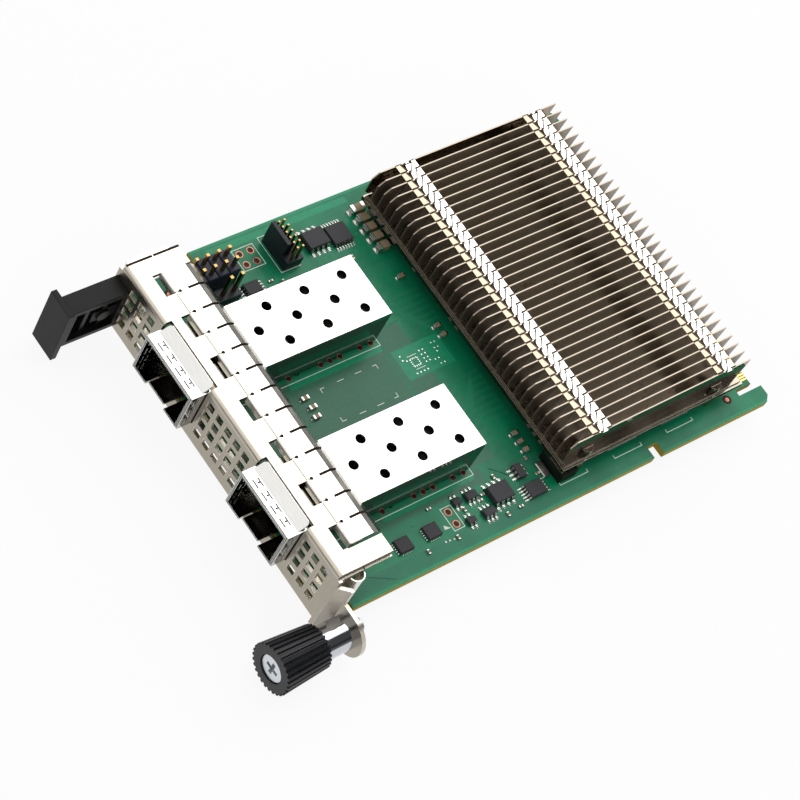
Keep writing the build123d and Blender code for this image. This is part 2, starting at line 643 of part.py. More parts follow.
def near_side_spring(wall_x):
    """Bowed ground spring at the near end of the bracket."""
    y0, y1 = NEAR_SPRING_SPAN
    middle = (y0 + y1) / 2
    reach = wall_x + SPRING_BULGE
    outer = ThreePointArc((wall_x, y0), (reach, middle), (wall_x, y1))
    inner = ThreePointArc((wall_x, y1 - SPRING_SHEET), (reach - SPRING_SHEET, middle), (wall_x, y0 + SPRING_SHEET))
    ends = [Line((wall_x, y1), (wall_x, y1 - SPRING_SHEET)), Line((wall_x, y0 + SPRING_SHEET), (wall_x, y0))]
    bow = extrude(make_face([outer, ends[0], inner, ends[1]]), SPRING_HIGH - SPRING_LOW)
    return Pos(0, 0, SPRING_LOW) * bow + spring_leaf(y1, 1, wall_x)


def far_side_spring(wall_x):
    """Long formed ground spring with a closed top at the far end of the bracket."""
    y0, y1 = FAR_SPRING_SPAN
    height, outside = SPRING_HIGH - SPRING_LOW, wall_x - SPRING_BULGE
    outline = Polyline((wall_x, y0), (outside, y0 + SPRING_RAMP), (outside, y1 - SPRING_RAMP), (wall_x, y1),
                       close=True)
    back, inside = wall_x - SPRING_SHEET, outside + SPRING_SHEET
    bend = SPRING_RAMP + SPRING_SHEET
    hollow = Polyline((back, y0 + 2 * SPRING_SHEET), (inside, y0 + bend), (inside, y1 - bend),
                      (back, y1 - 2 * SPRING_SHEET), close=True)
    body = Pos(0, 0, SPRING_LOW) * extrude(make_face(outline), height)
    body = body - Pos(0, 0, SPRING_LOW - SPRING_SHEET) * extrude(make_face(hollow), height)
    return body + spring_leaf(y1, -1, wall_x)


def port_cage(centre_x):
    """Sheet cage with a staggered vent field, a latch tongue in its floor and legs through the board."""
    half = CAGE_WIDTH / 2
    x0, x1 = centre_x - half, centre_x + half
    shell = block(x0, x1, CAGE_FRONT, CAGE_REAR, CAGE_BOTTOM, CAGE_TOP)
    hollow = block(x0 + CAGE_SHEET, x1 - CAGE_SHEET, CAGE_FRONT - 1, CAGE_REAR - CAGE_SHEET,
                   CAGE_BOTTOM + CAGE_SHEET, CAGE_TOP - CAGE_SHEET)
    floor_opening = block(x0 + CAGE_SHEET, x1 - CAGE_SHEET, CONNECTOR_FRONT - CONNECTOR_FLOOR_CLEAR,
                          CAGE_REAR - CAGE_SHEET,
                          CAGE_BOTTOM - 1, CAGE_BOTTOM + CAGE_SHEET)
    latch = block(centre_x - LATCH_NOTCH_WIDTH / 2, centre_x + LATCH_NOTCH_WIDTH / 2, CAGE_FRONT - 1,
                  CAGE_FRONT + LATCH_NOTCH_DEPTH, CAGE_BOTTOM - 1, CAGE_BOTTOM + CAGE_SHEET)
    vents = []
    for i in (-1, 0, 1):
        for j in (-1, 0, 1):
            stagger = CAGE_VENT_STAGGER if i == 0 else 0
            vents.append(post(CAGE_VENT_RADIUS, centre_x + i * CAGE_VENT_PITCH_X,
                              CAGE_REAR - CAGE_VENT_INSET + j * CAGE_VENT_PITCH_Y + stagger,
                              CAGE_TOP - 1, CAGE_TOP + 1))
    mouth_slots = slot_tools(centre_x, CAGE_TOP - 1, CAGE_TOP + 1) + side_slot_tools(centre_x, CAGE_WIDTH)
    cage = cuts(shell, [hollow, floor_opening, latch] + vents + mouth_slots)
    front = CAGE_FRONT + LATCH_TONGUE_START
    bend = front + LATCH_TONGUE_FLAT
    rear = CAGE_FRONT + LATCH_TONGUE_LENGTH
    low = CAGE_BOTTOM
    high = low + LATCH_TONGUE_RISE
    profile = Polyline((0, front, high), (0, bend, high), (0, rear, low), (0, rear, low + CAGE_SHEET),
                       (0, bend, high + CAGE_SHEET), (0, front, high + CAGE_SHEET), close=True)
    tongue = Pos(centre_x - LATCH_TONGUE_WIDTH / 2, 0, 0) * extrude(
        make_face(profile), amount=LATCH_TONGUE_WIDTH, dir=(1, 0, 0))
    cage = cage + tongue
    for x, y in leg_places((centre_x,)):
        cage = cage + block(x - CAGE_SHEET / 2, x + CAGE_SHEET / 2, y - LEG_WIDTH / 2, y + LEG_WIDTH / 2,
                            -BOARD_THICK - LEG_DROP, CAGE_BOTTOM + CAGE_SHEET)
    return cage


def port_collar(centre_x):
    """Sprung sheet ring round a cage mouth, with a ramp up to the flange at the top."""
    half = CAGE_WIDTH / 2 + COLLAR_SHEET
    x0, x1 = centre_x - half, centre_x + half
    low, high = CAGE_BOTTOM - COLLAR_SHEET, CAGE_TOP + COLLAR_SHEET
    ring = block(x0, x1, COLLAR_FRONT, COLLAR_REAR, low, high)
    bore = block(x0 + COLLAR_SHEET, x1 - COLLAR_SHEET, COLLAR_FRONT - 1, COLLAR_REAR + 1, CAGE_BOTTOM, CAGE_TOP)
    mouth_gap = block(centre_x - LATCH_NOTCH_WIDTH / 2, centre_x + LATCH_NOTCH_WIDTH / 2, COLLAR_FRONT - 1,
                      COLLAR_REAR + 1, low - 1, CAGE_BOTTOM)
    slots = slot_tools(centre_x, CAGE_TOP, high + 1) + side_slot_tools(centre_x, half + 1)
    ring = cuts(ring, [bore, mouth_gap] + slots)
    profile = Polyline((0, RAMP_FRONT, high), (0, RAMP_REAR, FACE_TOP), (0, RAMP_REAR, FACE_TOP - COLLAR_SHEET),
                       (0, RAMP_FRONT + RAMP_FOOT, high), close=True)
    ramp = Pos(centre_x - CAGE_WIDTH / 2, 0, 0) * extrude(make_face(profile), amount=CAGE_WIDTH, dir=(1, 0, 0))
    plan = block(centre_x - CAGE_WIDTH / 2, centre_x + CAGE_WIDTH / 2, COLLAR_FRONT, RAMP_REAR, CAGE_TOP,
                 FACE_TOP + 1)
    plan = fillet(plan.edges().filter_by(Axis.Z).group_by(Axis.Y)[-1], RAMP_CORNER)
    return ring + (ramp & plan)


def port_connector(centre_x):
    """Moulded edge-card connector that a transceiver plugs into."""
    half = CONNECTOR_WIDTH / 2
    body = block(centre_x - half, centre_x + half, CONNECTOR_FRONT, CONNECTOR_REAR, 0, CONNECTOR_HEIGHT)
    top_front = body.edges().filter_by(Axis.X).group_by(Axis.Z)[-1].sort_by(Axis.Y)[0]
    body = chamfer(top_front, CONNECTOR_CHAMFER)
    mouth = block(centre_x - half + CONNECTOR_WALL, centre_x + half - CONNECTOR_WALL, CONNECTOR_FRONT - 1,
                  CONNECTOR_FRONT + CONNECTOR_MOUTH_DEPTH, CONNECTOR_MOUTH_Z - CONNECTOR_MOUTH_HEIGHT / 2,
                  CONNECTOR_MOUTH_Z + CONNECTOR_MOUTH_HEIGHT / 2)
    return body - mouth


def heatsink_base():
    """Stepped base plate with a pedestal for the chip and holes for its screws."""
    plate = block(BASE_FAR_X, BASE_NEAR_X, BASE_FRONT, BASE_REAR, BASE_BOTTOM, BASE_TOP - BASE_STEP_HEIGHT)
    upper = block(BASE_FAR_X + BASE_STEP, BASE_NEAR_X - BASE_STEP, BASE_FRONT + BASE_STEP, BASE_REAR - BASE_STEP,
                  BASE_TOP - BASE_STEP_HEIGHT, BASE_TOP)
    cx, cy = CHIP_CENTRE
    half = LID_SIZE / 2
    pad_top = SUBSTRATE_HEIGHT + LID_HEIGHT + PAD_HEIGHT
    pedestal = block(cx - half, cx + half, cy - half, cy + half, pad_top, BASE_BOTTOM)
    holes = [post(SINK_SCREW_R, x, y, 0, BASE_TOP + 1) for x, y in sink_screw_places()]
    return cuts(plate + upper + pedestal, holes)


def zip_outline(front, reach, grow=0.0):
    """Skewed tongue that locks one fin tab into the next; grow widens it for the matching notch."""
    middle = front + ZIP_WIDTH / 2 + ZIP_OFFSET
    root = ZIP_ROOT / 2 + grow
    tip = ZIP_TIP / 2 + grow
    return Polyline((0, middle - root), (reach, middle - tip + ZIP_SKEW), (reach, middle + tip + ZIP_SKEW / 2),
                    (0, middle + root), close=True)


def fin(with_tabs, notched):
    """One fin at X = 0: plate, soldered foot and two folded tabs that interlock with the next fin."""
    t = FIN_SHEET
    profile = Polyline((0, FIN_FRONT, BASE_TOP + FIN_CHAMFER), (0, FIN_FRONT, FIN_TOP - FIN_CHAMFER),
                       (0, FIN_FRONT + FIN_CHAMFER, FIN_TOP), (0, FIN_REAR, FIN_TOP),
                       (0, FIN_REAR - FIN_REAR_RAKE, BASE_TOP), (0, FIN_FRONT + FIN_CHAMFER, BASE_TOP), close=True)
    plate = Pos(-t, 0, 0) * extrude(make_face(profile), amount=t, dir=(1, 0, 0))
    foot_front = BASE_FRONT + BASE_STEP + FIN_CHAMFER
    foot_rear = BASE_REAR - BASE_STEP - FIN_CHAMFER
    solid = plate
    if with_tabs:
        solid = solid + block(0, FIN_FOOT, foot_front, foot_rear, BASE_TOP, BASE_TOP + t)
    for front in ZIP_FRONT_Y:
        notch = make_face(zip_outline(front, ZIP_TONGUE, ZIP_SEAM))
        if with_tabs:
            tab = block(0, FIN_PITCH - t - ZIP_SEAM, front, front + ZIP_WIDTH, FIN_TOP - t, FIN_TOP)
            gap = Polyline((0, front + ZIP_GAP_FRONT), (ZIP_GAP_REACH, front + ZIP_GAP_FRONT + ZIP_GAP_WIDTH / 2),
                           (0, front + ZIP_GAP_FRONT + ZIP_GAP_WIDTH), close=True)
            solid = solid + (tab - Pos(0, 0, FIN_TOP - 1) * extrude(make_face(gap), 2))
            tongue = make_face(zip_outline(front, ZIP_TONGUE - ZIP_SEAM))
            solid = solid + Pos(FIN_PITCH - t - ZIP_SEAM, 0, FIN_TOP - t) * extrude(tongue, t)
        solid = solid - Pos(-t - ZIP_SEAM, 0, FIN_TOP - t - ZIP_CUT_CLEAR) * extrude(notch, t + 2 * ZIP_CUT_CLEAR)
    if notched:
        reach = SINK_SCREW_HEAD_R + SINK_NOTCH_CLEAR
        for y in (SCREW_FRONT_Y, SCREW_REAR_Y):
            solid = solid - block(-1, FIN_PITCH, y - reach, y + reach, BASE_TOP - 1,
                                  BASE_TOP + SINK_SCREW_HEAD_H + SINK_NOTCH_CLEAR)
    return solid


def heatsink_fins():
    """The stack of interlocked fins."""
    kinds = {}
    solids = []
    reach = SINK_SCREW_HEAD_R + SINK_NOTCH_CLEAR
    screw_columns = {x for x, y in sink_screw_places()}
    for i in range(FIN_COUNT):
        x = FIN_FIRST_X + i * FIN_PITCH
        near_screw = any(x - FIN_SHEET - reach < column < x + FIN_FOOT + reach for column in screw_columns)
        kind = (i < FIN_COUNT - 1, near_screw)
        if kind not in kinds:
            kinds[kind] = fin(*kind)
        solids.append(Pos(x, 0, 0) * kinds[kind])
    return group(solids)


def heatsink_standoffs():
    """Round spacers between board and heatsink base."""
    return group(post(STANDOFF_R, x, y, 0, BASE_BOTTOM) - post(SINK_SCREW_R, x, y, -1, BASE_BOTTOM + 1)
                 for x, y in sink_screw_places())


def heatsink_screws():
    """Pan-head screws through the base, the spacers and the board."""
    return group(post(SINK_SCREW_HEAD_R, x, y, BASE_TOP, BASE_TOP + SINK_SCREW_HEAD_H)
                 + post(SINK_SCREW_R, x, y, -BOARD_THICK - LEG_DROP, BASE_TOP) for x, y in sink_screw_places())


def chip_layer(size, z0, z1):
    """Square layer centred on the controller chip."""
    cx, cy = CHIP_CENTRE
    return block(cx - size / 2, cx + size / 2, cy - size / 2, cy + size / 2, z0, z1)


def knob_outline(radius):
    """Ribbed outline: each rib is a flat land between two flanks."""
    points = []
    step = 360.0 / KNOB_RIBS
    valley = KNOB_RIB_LAND + KNOB_RIB_FLANK
    corners = ((0.0, 0), (KNOB_RIB_LAND, 0), (valley, KNOB_RIB_DEPTH), (1 - KNOB_RIB_FLANK, KNOB_RIB_DEPTH))
    for i in range(KNOB_RIBS):
        for share, depth in corners:
            angle = radians((i + share) * step)
            points.append(((radius - depth) * cos(angle), (radius - depth) * sin(angle)))
    return make_face(Polyline(*points, close=True))


def knob_span():
    """Return the Y of the knob's front and rear faces."""
    rear = THUMB_EAR_FRONT - KNOB_GAP
    return rear - KNOB_LENGTH, rear


def knob_floor():
    """Return the Y of the bottom of the knob's rear bore."""
    return knob_span()[0] + SCREW_HEAD_RECESS + SCREW_HEAD_H + KNOB_WEB


def thumb_knob():
    """Tapered ribbed knob, bored from the rear to run over the sleeve."""
    front, rear = knob_span()
    to_axis = Plane(origin=(THUMB_X, front, THUMB_Z), x_dir=(1, 0, 0), z_dir=(0, 1, 0))
    body = loft([to_axis * knob_outline(KNOB_FRONT_R), to_axis.offset(KNOB_LENGTH) * knob_outline(KNOB_REAR_R)],
                ruled=True)
    seat = front + SCREW_HEAD_RECESS + SCREW_HEAD_H
    return cuts(body, [rod(SLEEVE_R + KNOB_SLEEVE_CLEAR, knob_floor(), rear + 1),
                       rod(SCREW_HEAD_R, front - 1, seat), rod(SCREW_SHANK_R, front, rear)])


def thumb_screw():
    """Screw with a round cross-recess head set in the knob, a thin shank and its thread beyond the ear."""
    front = knob_span()[0] + SCREW_HEAD_RECESS
    end = THUMB_EAR_FRONT + SHEET + SCREW_TIP
    start = THUMB_EAR_FRONT + SHEET + SPIGOT_LIP + SCREW_THREAD_CLEAR
    thread = rod(SCREW_THREAD_R, start, end)
    tip = thread.edges().filter_by(GeomType.CIRCLE).sort_by(Axis.Y)[-1]
    head = rod(SCREW_HEAD_R, front, front + SCREW_HEAD_H)
    rim = head.edges().filter_by(GeomType.CIRCLE).sort_by(Axis.Y)[0]
    screw = fillet(rim, SCREW_HEAD_RECESS) + rod(SCREW_SHANK_R, front + SCREW_HEAD_H, start)
    screw = screw + chamfer(tip, SCREW_TIP_CHAMFER)
    for width, height in ((CROSS_LENGTH, CROSS_WIDTH), (CROSS_WIDTH, CROSS_LENGTH)):
        screw = screw - block(THUMB_X - width / 2, THUMB_X + width / 2, front - 1, front + CROSS_DEPTH,
                              THUMB_Z - height / 2, THUMB_Z + height / 2)
    return screw


def thumb_sleeve():
    """Plated sleeve riveted into the ear by a spigot and a rolled lip."""
    front = THUMB_EAR_FRONT - SLEEVE_LENGTH
    rear = THUMB_EAR_FRONT + SHEET
    tube = rod(SLEEVE_R, front, THUMB_EAR_FRONT)
    spigot = rod(SPIGOT_R, THUMB_EAR_FRONT, rear) + rod(SPIGOT_LIP_R, rear, rear + SPIGOT_LIP)
    return cuts(tube + spigot, [rod(SLEEVE_BORE_R, front - 1, THUMB_EAR_FRONT - SLEEVE_WALL),
                                rod(SLEEVE_HOLE_R, front, rear + SPIGOT_LIP + 1)])


def thumb_washer():
    """Seat washer between the knob and its spring."""
    front = knob_floor() + AXIAL_CLEAR
    return rod(WASHER_R, front, front + WASHER_H) - rod(SCREW_SHANK_R + WASHER_CLEAR, front - 1, front + 2)


def thumb_spring():
    """Compression spring round the screw, from the washer to the bottom of the sleeve."""
    start = knob_floor() + 2 * AXIAL_CLEAR + WASHER_H + COIL_WIRE / 2
    end = THUMB_EAR_FRONT - SLEEVE_WALL - COIL_WIRE / 2
    length = end - start
    helix = Helix(pitch=length / COIL_TURNS, height=length, radius=COIL_R)
    section = Plane(origin=helix @ 0, z_dir=helix % 0) * Rectangle(COIL_WIRE, COIL_WIRE)
    coil = sweep(section, path=helix, is_frenet=True)
    return Pos(THUMB_X, start, THUMB_Z) * Rot(-90, 0, 0) * coil


def pull_tab():
    """Moulded pull tab: a hollow ribbed arm with a flared grip plate."""
    arm = block(TAB_FAR_X, TAB_NEAR_X, -TAB_ARM_LENGTH, 0, TAB_LOW, TAB_HIGH)
    pocket = block(TAB_FAR_X + TAB_WALL, TAB_NEAR_X + 1, -TAB_ARM_LENGTH + TAB_WALL, -TAB_WALL,
                   TAB_LOW + TAB_WALL, TAB_HIGH - TAB_WALL)
    arm = arm - pocket
    boss_y, boss_z = TAB_BOSS
    ribs = [block(TAB_FAR_X + TAB_WALL, TAB_NEAR_X - TAB_RIB, y - TAB_RIB / 2, y + TAB_RIB / 2,
                  TAB_LOW + TAB_WALL, TAB_HIGH - TAB_WALL) for y in (TAB_RIB_Y, boss_y)]
    boss = Pos((TAB_FAR_X + TAB_WALL + TAB_NEAR_X - TAB_RIB / 2) / 2, boss_y, boss_z) * Rot(0, 90, 0) * Cylinder(
        TAB_BOSS_R, TAB_NEAR_X - TAB_RIB / 2 - TAB_FAR_X - TAB_WALL)
    root_pad = block(TAB_FAR_X + TAB_WALL, TAB_NEAR_X - TAB_RIB, -TAB_SCREW_BITE - TAB_WALL, -TAB_WALL,
                     boss_z - TAB_SCREW_HEAD_R, boss_z + TAB_SCREW_HEAD_R)
    for piece in ribs + [boss, root_pad]:
        arm = arm + piece
    tab_x = (TAB_FAR_X + TAB_NEAR_X) / 2
    width = TAB_NEAR_X - TAB_FAR_X
    height = TAB_HIGH - TAB_LOW
    mid_z = (TAB_HIGH + TAB_LOW) / 2
    rear = Plane(origin=(tab_x, -TAB_ARM_LENGTH, mid_z), x_dir=(1, 0, 0), z_dir=(0, -1, 0))
    big = Rectangle(width + 2 * GRIP_FLARE_X, height + 2 * GRIP_FLARE_Z)
    grip = loft([rear * Rectangle(width, height), rear.offset(GRIP_EDGE) * big], ruled=True)
    grip = grip + extrude(rear.offset(GRIP_EDGE) * big, GRIP_DEPTH - GRIP_EDGE)
    return (arm + grip) - rod(TAB_SCREW_R, -TAB_SCREW_BITE, 1, tab_x, boss_z)


def pull_tab_screw():
    """Screw from inside the bracket into the pull tab."""
    tab_x = (TAB_FAR_X + TAB_NEAR_X) / 2
    z = TAB_BOSS[1]
    return (rod(TAB_SCREW_R, -TAB_SCREW_BITE, SHEET, tab_x, z)
            + rod(TAB_SCREW_HEAD_R, SHEET, SHEET + TAB_SCREW_HEAD_H, tab_x, z))


def header_base(header):
    """Moulded header strip with one square hole for each pin."""
    (cx, cy), columns, rows, pitch, pin = header[:5]
    width, depth = columns * pitch, rows * pitch
    body = block(cx - width / 2, cx + width / 2, cy - depth / 2, cy + depth / 2, 0, HEADER_HEIGHT)
    if pitch == FINE_PITCH:
        front, rear = cy - depth / 2 - FINE_HEADER_MARGIN, cy + depth / 2 + FINE_HEADER_MARGIN
        body = block(cx - width / 2, cx + width / 2, front, rear, 0, HEADER_HEIGHT)
        body = body + block(cx - width / 2, cx - width / 2 + GUARD_WIDTH, front, front + GUARD_WALL,
                            HEADER_HEIGHT, GUARD_HEIGHT)
    half = pin / 2
    return cuts(body, [block(x - half, x + half, y - half, y + half, -1, HEADER_HEIGHT + 1)
                       for x, y in pin_places(header)])


def header_pins():
    """Square pins of every header, through the board."""
    return group(block(x - side / 2, x + side / 2, y - side / 2, y + side / 2, -BOARD_THICK - PIN_TAIL, top)
                 for x, y, side, top in all_pins())


def bracket_nuts():
    """Press nuts on the board that take the bracket's screws."""
    return group(post(NUT_R, side * FOOT_X, FOOT_HOLE_Y, 0, NUT_H)
                 - post(FOOT_SCREW_R, side * FOOT_X, FOOT_HOLE_Y, -1, NUT_H + 1) for side in (-1, 1))


def bracket_screws():
    """Screws from below through the bracket's feet and the board."""
    low = -BOARD_THICK - SHEET
    return group(post(FOOT_SCREW_HEAD_R, side * FOOT_X, FOOT_HOLE_Y, low - FOOT_SCREW_HEAD_H, low)
                 + post(FOOT_SCREW_R, side * FOOT_X, FOOT_HOLE_Y, low, NUT_H) for side in (-1, 1))


def chip_body(centre, size):
    """Moulded chip body with bevelled top edges."""
    (cx, cy), (width, depth, height) = centre, size
    body = block(cx - width / 2, cx + width / 2, cy - depth / 2, cy + depth / 2, 0, height)
    return chamfer(body.edges().group_by(Axis.Z)[-1], CHIP_EDGE)


def small_chips():
    """Bodies of the smallest leaded chips, one group of separate solids."""
    return group(chip_body(centre, size) for centre, size, pitch, axis in SMALL_CHIPS)


def gull_leads():
    """Leads of the leaded chips, one group of separate solids."""
    solids = []
    for (cx, cy), size, pitch, axis in list(CHIPS.values()) + list(SMALL_CHIPS):
        width, depth, height = size
        edge = (width if axis == "x" else depth) / 2
        shoulder = height * LEAD_SHOULDER_SHARE
        knee, reach = edge + LEAD_KNEE, edge + LEAD_REACH
        profile = Polyline((edge, 0, shoulder), (knee, 0, 0), (reach, 0, 0), (reach, 0, LEAD_SHEET),
                           (knee + LEAD_SHEET / 2, 0, LEAD_SHEET), (edge, 0, shoulder + 2 * LEAD_SHEET), close=True)
        lead = extrude(make_face(profile), amount=pitch * LEAD_SHARE, dir=(0, 1, 0))
        count = lead_count(size, pitch, axis)
        for turn in (0, 180) if axis == "x" else (90, 270):
            for i in range(count):
                along = (i - (count - 1) / 2) * pitch - pitch * LEAD_SHARE / 2
                solids.append(Pos(cx, cy, 0) * Rot(0, 0, turn) * Pos(0, along, 0) * lead)
    return group(solids)


def cap_bodies(centres, size):
    """Ceramic middles of a set of capacitors that lie along Y."""
    width, length, height = size
    end = length * CAP_END_SHARE
    return group(block(x - width / 2, x + width / 2, y - length / 2 + end, y + length / 2 - end, 0, height)
                 for x, y in centres)


def cap_ends(centres, size):
    """Plated ends of a set of capacitors that lie along Y."""
    width, length, height = size
    end = length * CAP_END_SHARE
    return group(block(x - width / 2, x + width / 2, y0, y0 + end, 0, height)
                 for x, y in centres for y0 in (y - length / 2, y + length / 2 - end))


def build():
    """Return every node's shape by name."""
    lid_top = SUBSTRATE_HEIGHT + LID_HEIGHT
    parts = {
        "circuit_board": circuit_board(),
        "edge_contacts": edge_contacts(),
        "io_bracket": io_bracket(),
        "finger_gasket": finger_gasket(),
        "side_spring_near": near_side_spring(FACE_NEAR_X - SHEET),
        "side_spring_far": far_side_spring(FACE_FAR_X + SHEET),
        "heatsink_base": heatsink_base(),
        "heatsink_fins": heatsink_fins(),
        "heatsink_standoffs": heatsink_standoffs(),
        "heatsink_screws": heatsink_screws(),
        "chip_substrate": chip_layer(SUBSTRATE_SIZE, 0, SUBSTRATE_HEIGHT),
        "chip_lid": chip_layer(LID_SIZE, SUBSTRATE_HEIGHT, lid_top),
        "thermal_pad": chip_layer(LID_SIZE, lid_top, lid_top + PAD_HEIGHT),
        "thumb_knob": thumb_knob(),
        "thumb_screw": thumb_screw(),
        "thumb_sleeve": thumb_sleeve(),
        "thumb_washer": thumb_washer(),
        "thumb_spring": thumb_spring(),
        "pull_tab": pull_tab(),
        "pull_tab_screw": pull_tab_screw(),
        "header_pins": header_pins(),
        "bracket_nuts": bracket_nuts(),
        "bracket_screws": bracket_screws(),
        "chip_leads": gull_leads(),
        "bulk_cap_bodies": cap_bodies(BULK_CAPS, BULK_CAP_SIZE),
        "bulk_cap_ends": cap_ends(BULK_CAPS, BULK_CAP_SIZE),
        "small_cap_bodies": cap_bodies(SMALL_CAPS, SMALL_CAP_SIZE),
        "small_cap_ends": cap_ends(SMALL_CAPS, SMALL_CAP_SIZE),
        "chip_small_set": small_chips(),
        "crystal_can": chip_body(CRYSTAL_CENTRE, CRYSTAL_SIZE),
        "power_choke": chip_body(CHOKE_CENTRE, CHOKE_SIZE),
    }
    for name, header in HEADER_GRIDS.items():
        parts[name] = header_base(header)
    for place, centre_x in zip(("far", "near"), CAGE_X):
        parts["port_cage_" + place] = port_cage(centre_x)
        parts["port_collar_" + place] = port_collar(centre_x)
        parts["port_connector_" + place] = port_connector(centre_x)
    for name, (centre, size, pitch, axis) in CHIPS.items():
        parts[name] = chip_body(centre, size)
    for name, centre in POWER_CHIPS.items():
        parts[name] = chip_body(centre, POWER_CHIP_SIZE)
    return parts


os.makedirs("parts", exist_ok=True)
for node, shape in build().items():
    export_step(shape, "parts/" + node + ".step")
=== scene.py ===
"""Looks of a low network mezzanine card: finishes, board artwork, solder dressing and a plain studio."""

import logging
import math
import random
from collections.abc import Sequence
from dataclasses import dataclass
from enum import Enum
from functools import reduce
from typing import TypeAlias

import bpy
from mathutils import Matrix, Vector


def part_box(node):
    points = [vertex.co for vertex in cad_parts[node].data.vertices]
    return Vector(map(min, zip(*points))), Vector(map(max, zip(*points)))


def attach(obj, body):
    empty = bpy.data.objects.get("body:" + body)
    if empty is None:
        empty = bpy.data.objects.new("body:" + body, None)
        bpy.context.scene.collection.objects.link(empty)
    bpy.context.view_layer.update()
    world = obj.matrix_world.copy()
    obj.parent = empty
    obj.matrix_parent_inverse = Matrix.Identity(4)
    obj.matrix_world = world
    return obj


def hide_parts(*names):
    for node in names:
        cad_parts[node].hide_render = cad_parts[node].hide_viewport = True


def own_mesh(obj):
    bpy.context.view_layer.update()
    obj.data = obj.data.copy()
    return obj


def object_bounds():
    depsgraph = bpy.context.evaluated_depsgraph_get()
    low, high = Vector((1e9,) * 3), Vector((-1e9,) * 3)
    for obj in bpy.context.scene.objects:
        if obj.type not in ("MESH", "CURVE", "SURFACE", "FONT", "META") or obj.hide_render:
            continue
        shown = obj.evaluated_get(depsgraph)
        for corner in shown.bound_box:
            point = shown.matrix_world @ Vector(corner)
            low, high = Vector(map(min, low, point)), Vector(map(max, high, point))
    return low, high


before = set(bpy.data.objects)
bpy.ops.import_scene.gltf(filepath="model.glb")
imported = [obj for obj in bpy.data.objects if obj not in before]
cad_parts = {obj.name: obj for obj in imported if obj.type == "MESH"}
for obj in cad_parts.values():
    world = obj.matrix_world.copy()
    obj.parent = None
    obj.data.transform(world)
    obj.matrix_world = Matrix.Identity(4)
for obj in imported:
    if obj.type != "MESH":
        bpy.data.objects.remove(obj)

CAD_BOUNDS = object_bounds()
MM = 0.001
LOG = logging.getLogger("card")

Colour = tuple[float, float, float, float]
Point = tuple[float, float]
Place = tuple[float, float, float]
Box = tuple[float, float, float, float]
Points = Sequence[Point]
Boxes = Sequence[Box]
Value: TypeAlias = "Signal | float"
WHITE: Colour = (1, 1, 1, 1)


class Slot(Enum):
    """Material slots of the record, one passed with each dressing piece."""

    SOLDER_MASK = "solder_mask"
    GOLD = "gold"
    TIN = "tin"
    CERAMIC = "ceramic"
    BLACK_PLASTIC = "black_plastic"
    CHROME = "chrome"


class Axis(Enum):
    """Axes that a chip's leads point along."""

    X = "x"
    Y = "y"


def tone(red: int, green: int, blue: int) -> Colour:
    """Turn screen values of 0 to 255 into a linear colour."""
    return (*((v / 255 / 12.92) if v <= 10 else ((v / 255 + 0.055) / 1.055) ** 2.4 for v in (red, green, blue)), 1.0)


def scaled(colour: Colour, share: float) -> Colour:
    """Return a colour made lighter or darker by a share."""
    return (*(part * share for part in colour[:3]), 1.0)


def placed(name: str, data: bpy.types.ID) -> bpy.types.Object:
    """Return a new object that holds the data, in the scene."""
    made = bpy.data.objects.new(name, data)
    bpy.context.scene.collection.objects.link(made)
    return made


@dataclass(frozen=True, eq=False)
class Signal:
    """One output socket and its paint, with arithmetic that adds Math nodes."""

    paint: "Paint"
    socket: bpy.types.NodeSocket

    def _math(self, operation: str, first: Value, second: Value = 0.0) -> "Signal":
        """Return a Math node's result."""
        return self.paint.node("ShaderNodeMath", {"operation": operation}, {0: first, 1: second})

    def __add__(self, other: Value) -> "Signal":
        """Return the sum."""
        return self._math("ADD", self, other)

    def __sub__(self, other: Value) -> "Signal":
        """Return the difference."""
        return self._math("SUBTRACT", self, other)

    def __rsub__(self, other: float) -> "Signal":
        """Return the difference from a number."""
        return self._math("SUBTRACT", other, self)

    def __mul__(self, other: Value) -> "Signal":
        """Return the product."""
        return self._math("MULTIPLY", self, other)

    __radd__ = __add__
    __rmul__ = __mul__

    def __abs__(self) -> "Signal":
        """Return the size without the sign."""
        return self._math("ABSOLUTE", self)

    def fraction(self) -> "Signal":
        """Return the part after the decimal point."""
        return self._math("FRACT", self)

    def above(self, other: Value) -> "Signal":
        """Return 1 where this is greater, else 0."""
        return self._math("GREATER_THAN", self, other)

    def most(self, other: Value) -> "Signal":
        """Return the larger of the two."""
        return self._math("MAXIMUM", self, other)

    def near(self, centre: Value, reach: float) -> "Signal":
        """Return 1 within a reach of a centre, else 0."""
        return 1 - abs(self - centre).above(reach)

    def within(self, low: Value, high: Value) -> "Signal":
        """Return 1 between two values, else 0."""
        return self.above(low) * (1 - self.above(high))

    def fade(self, low: float, high: float, start: float = 0.0, end: float = 1.0) -> "Signal":
        """Map smoothly from between low and high to between start and end."""
        return self.paint.node("ShaderNodeMapRange", {"interpolation_type": "SMOOTHSTEP"},
                               {0: self, 1: low, 2: high, 3: start, 4: end})

    def bump(self, depth: float, normal: "Signal | None" = None) -> "Signal":
        """Return the normal of a relief with this height, of a depth in mm, over another normal."""
        sockets = {"Height": self, "Distance": depth * MM, "Strength": 1.0} | ({"Normal": normal} if normal else {})
        return self.paint.node("ShaderNodeBump", None, sockets)


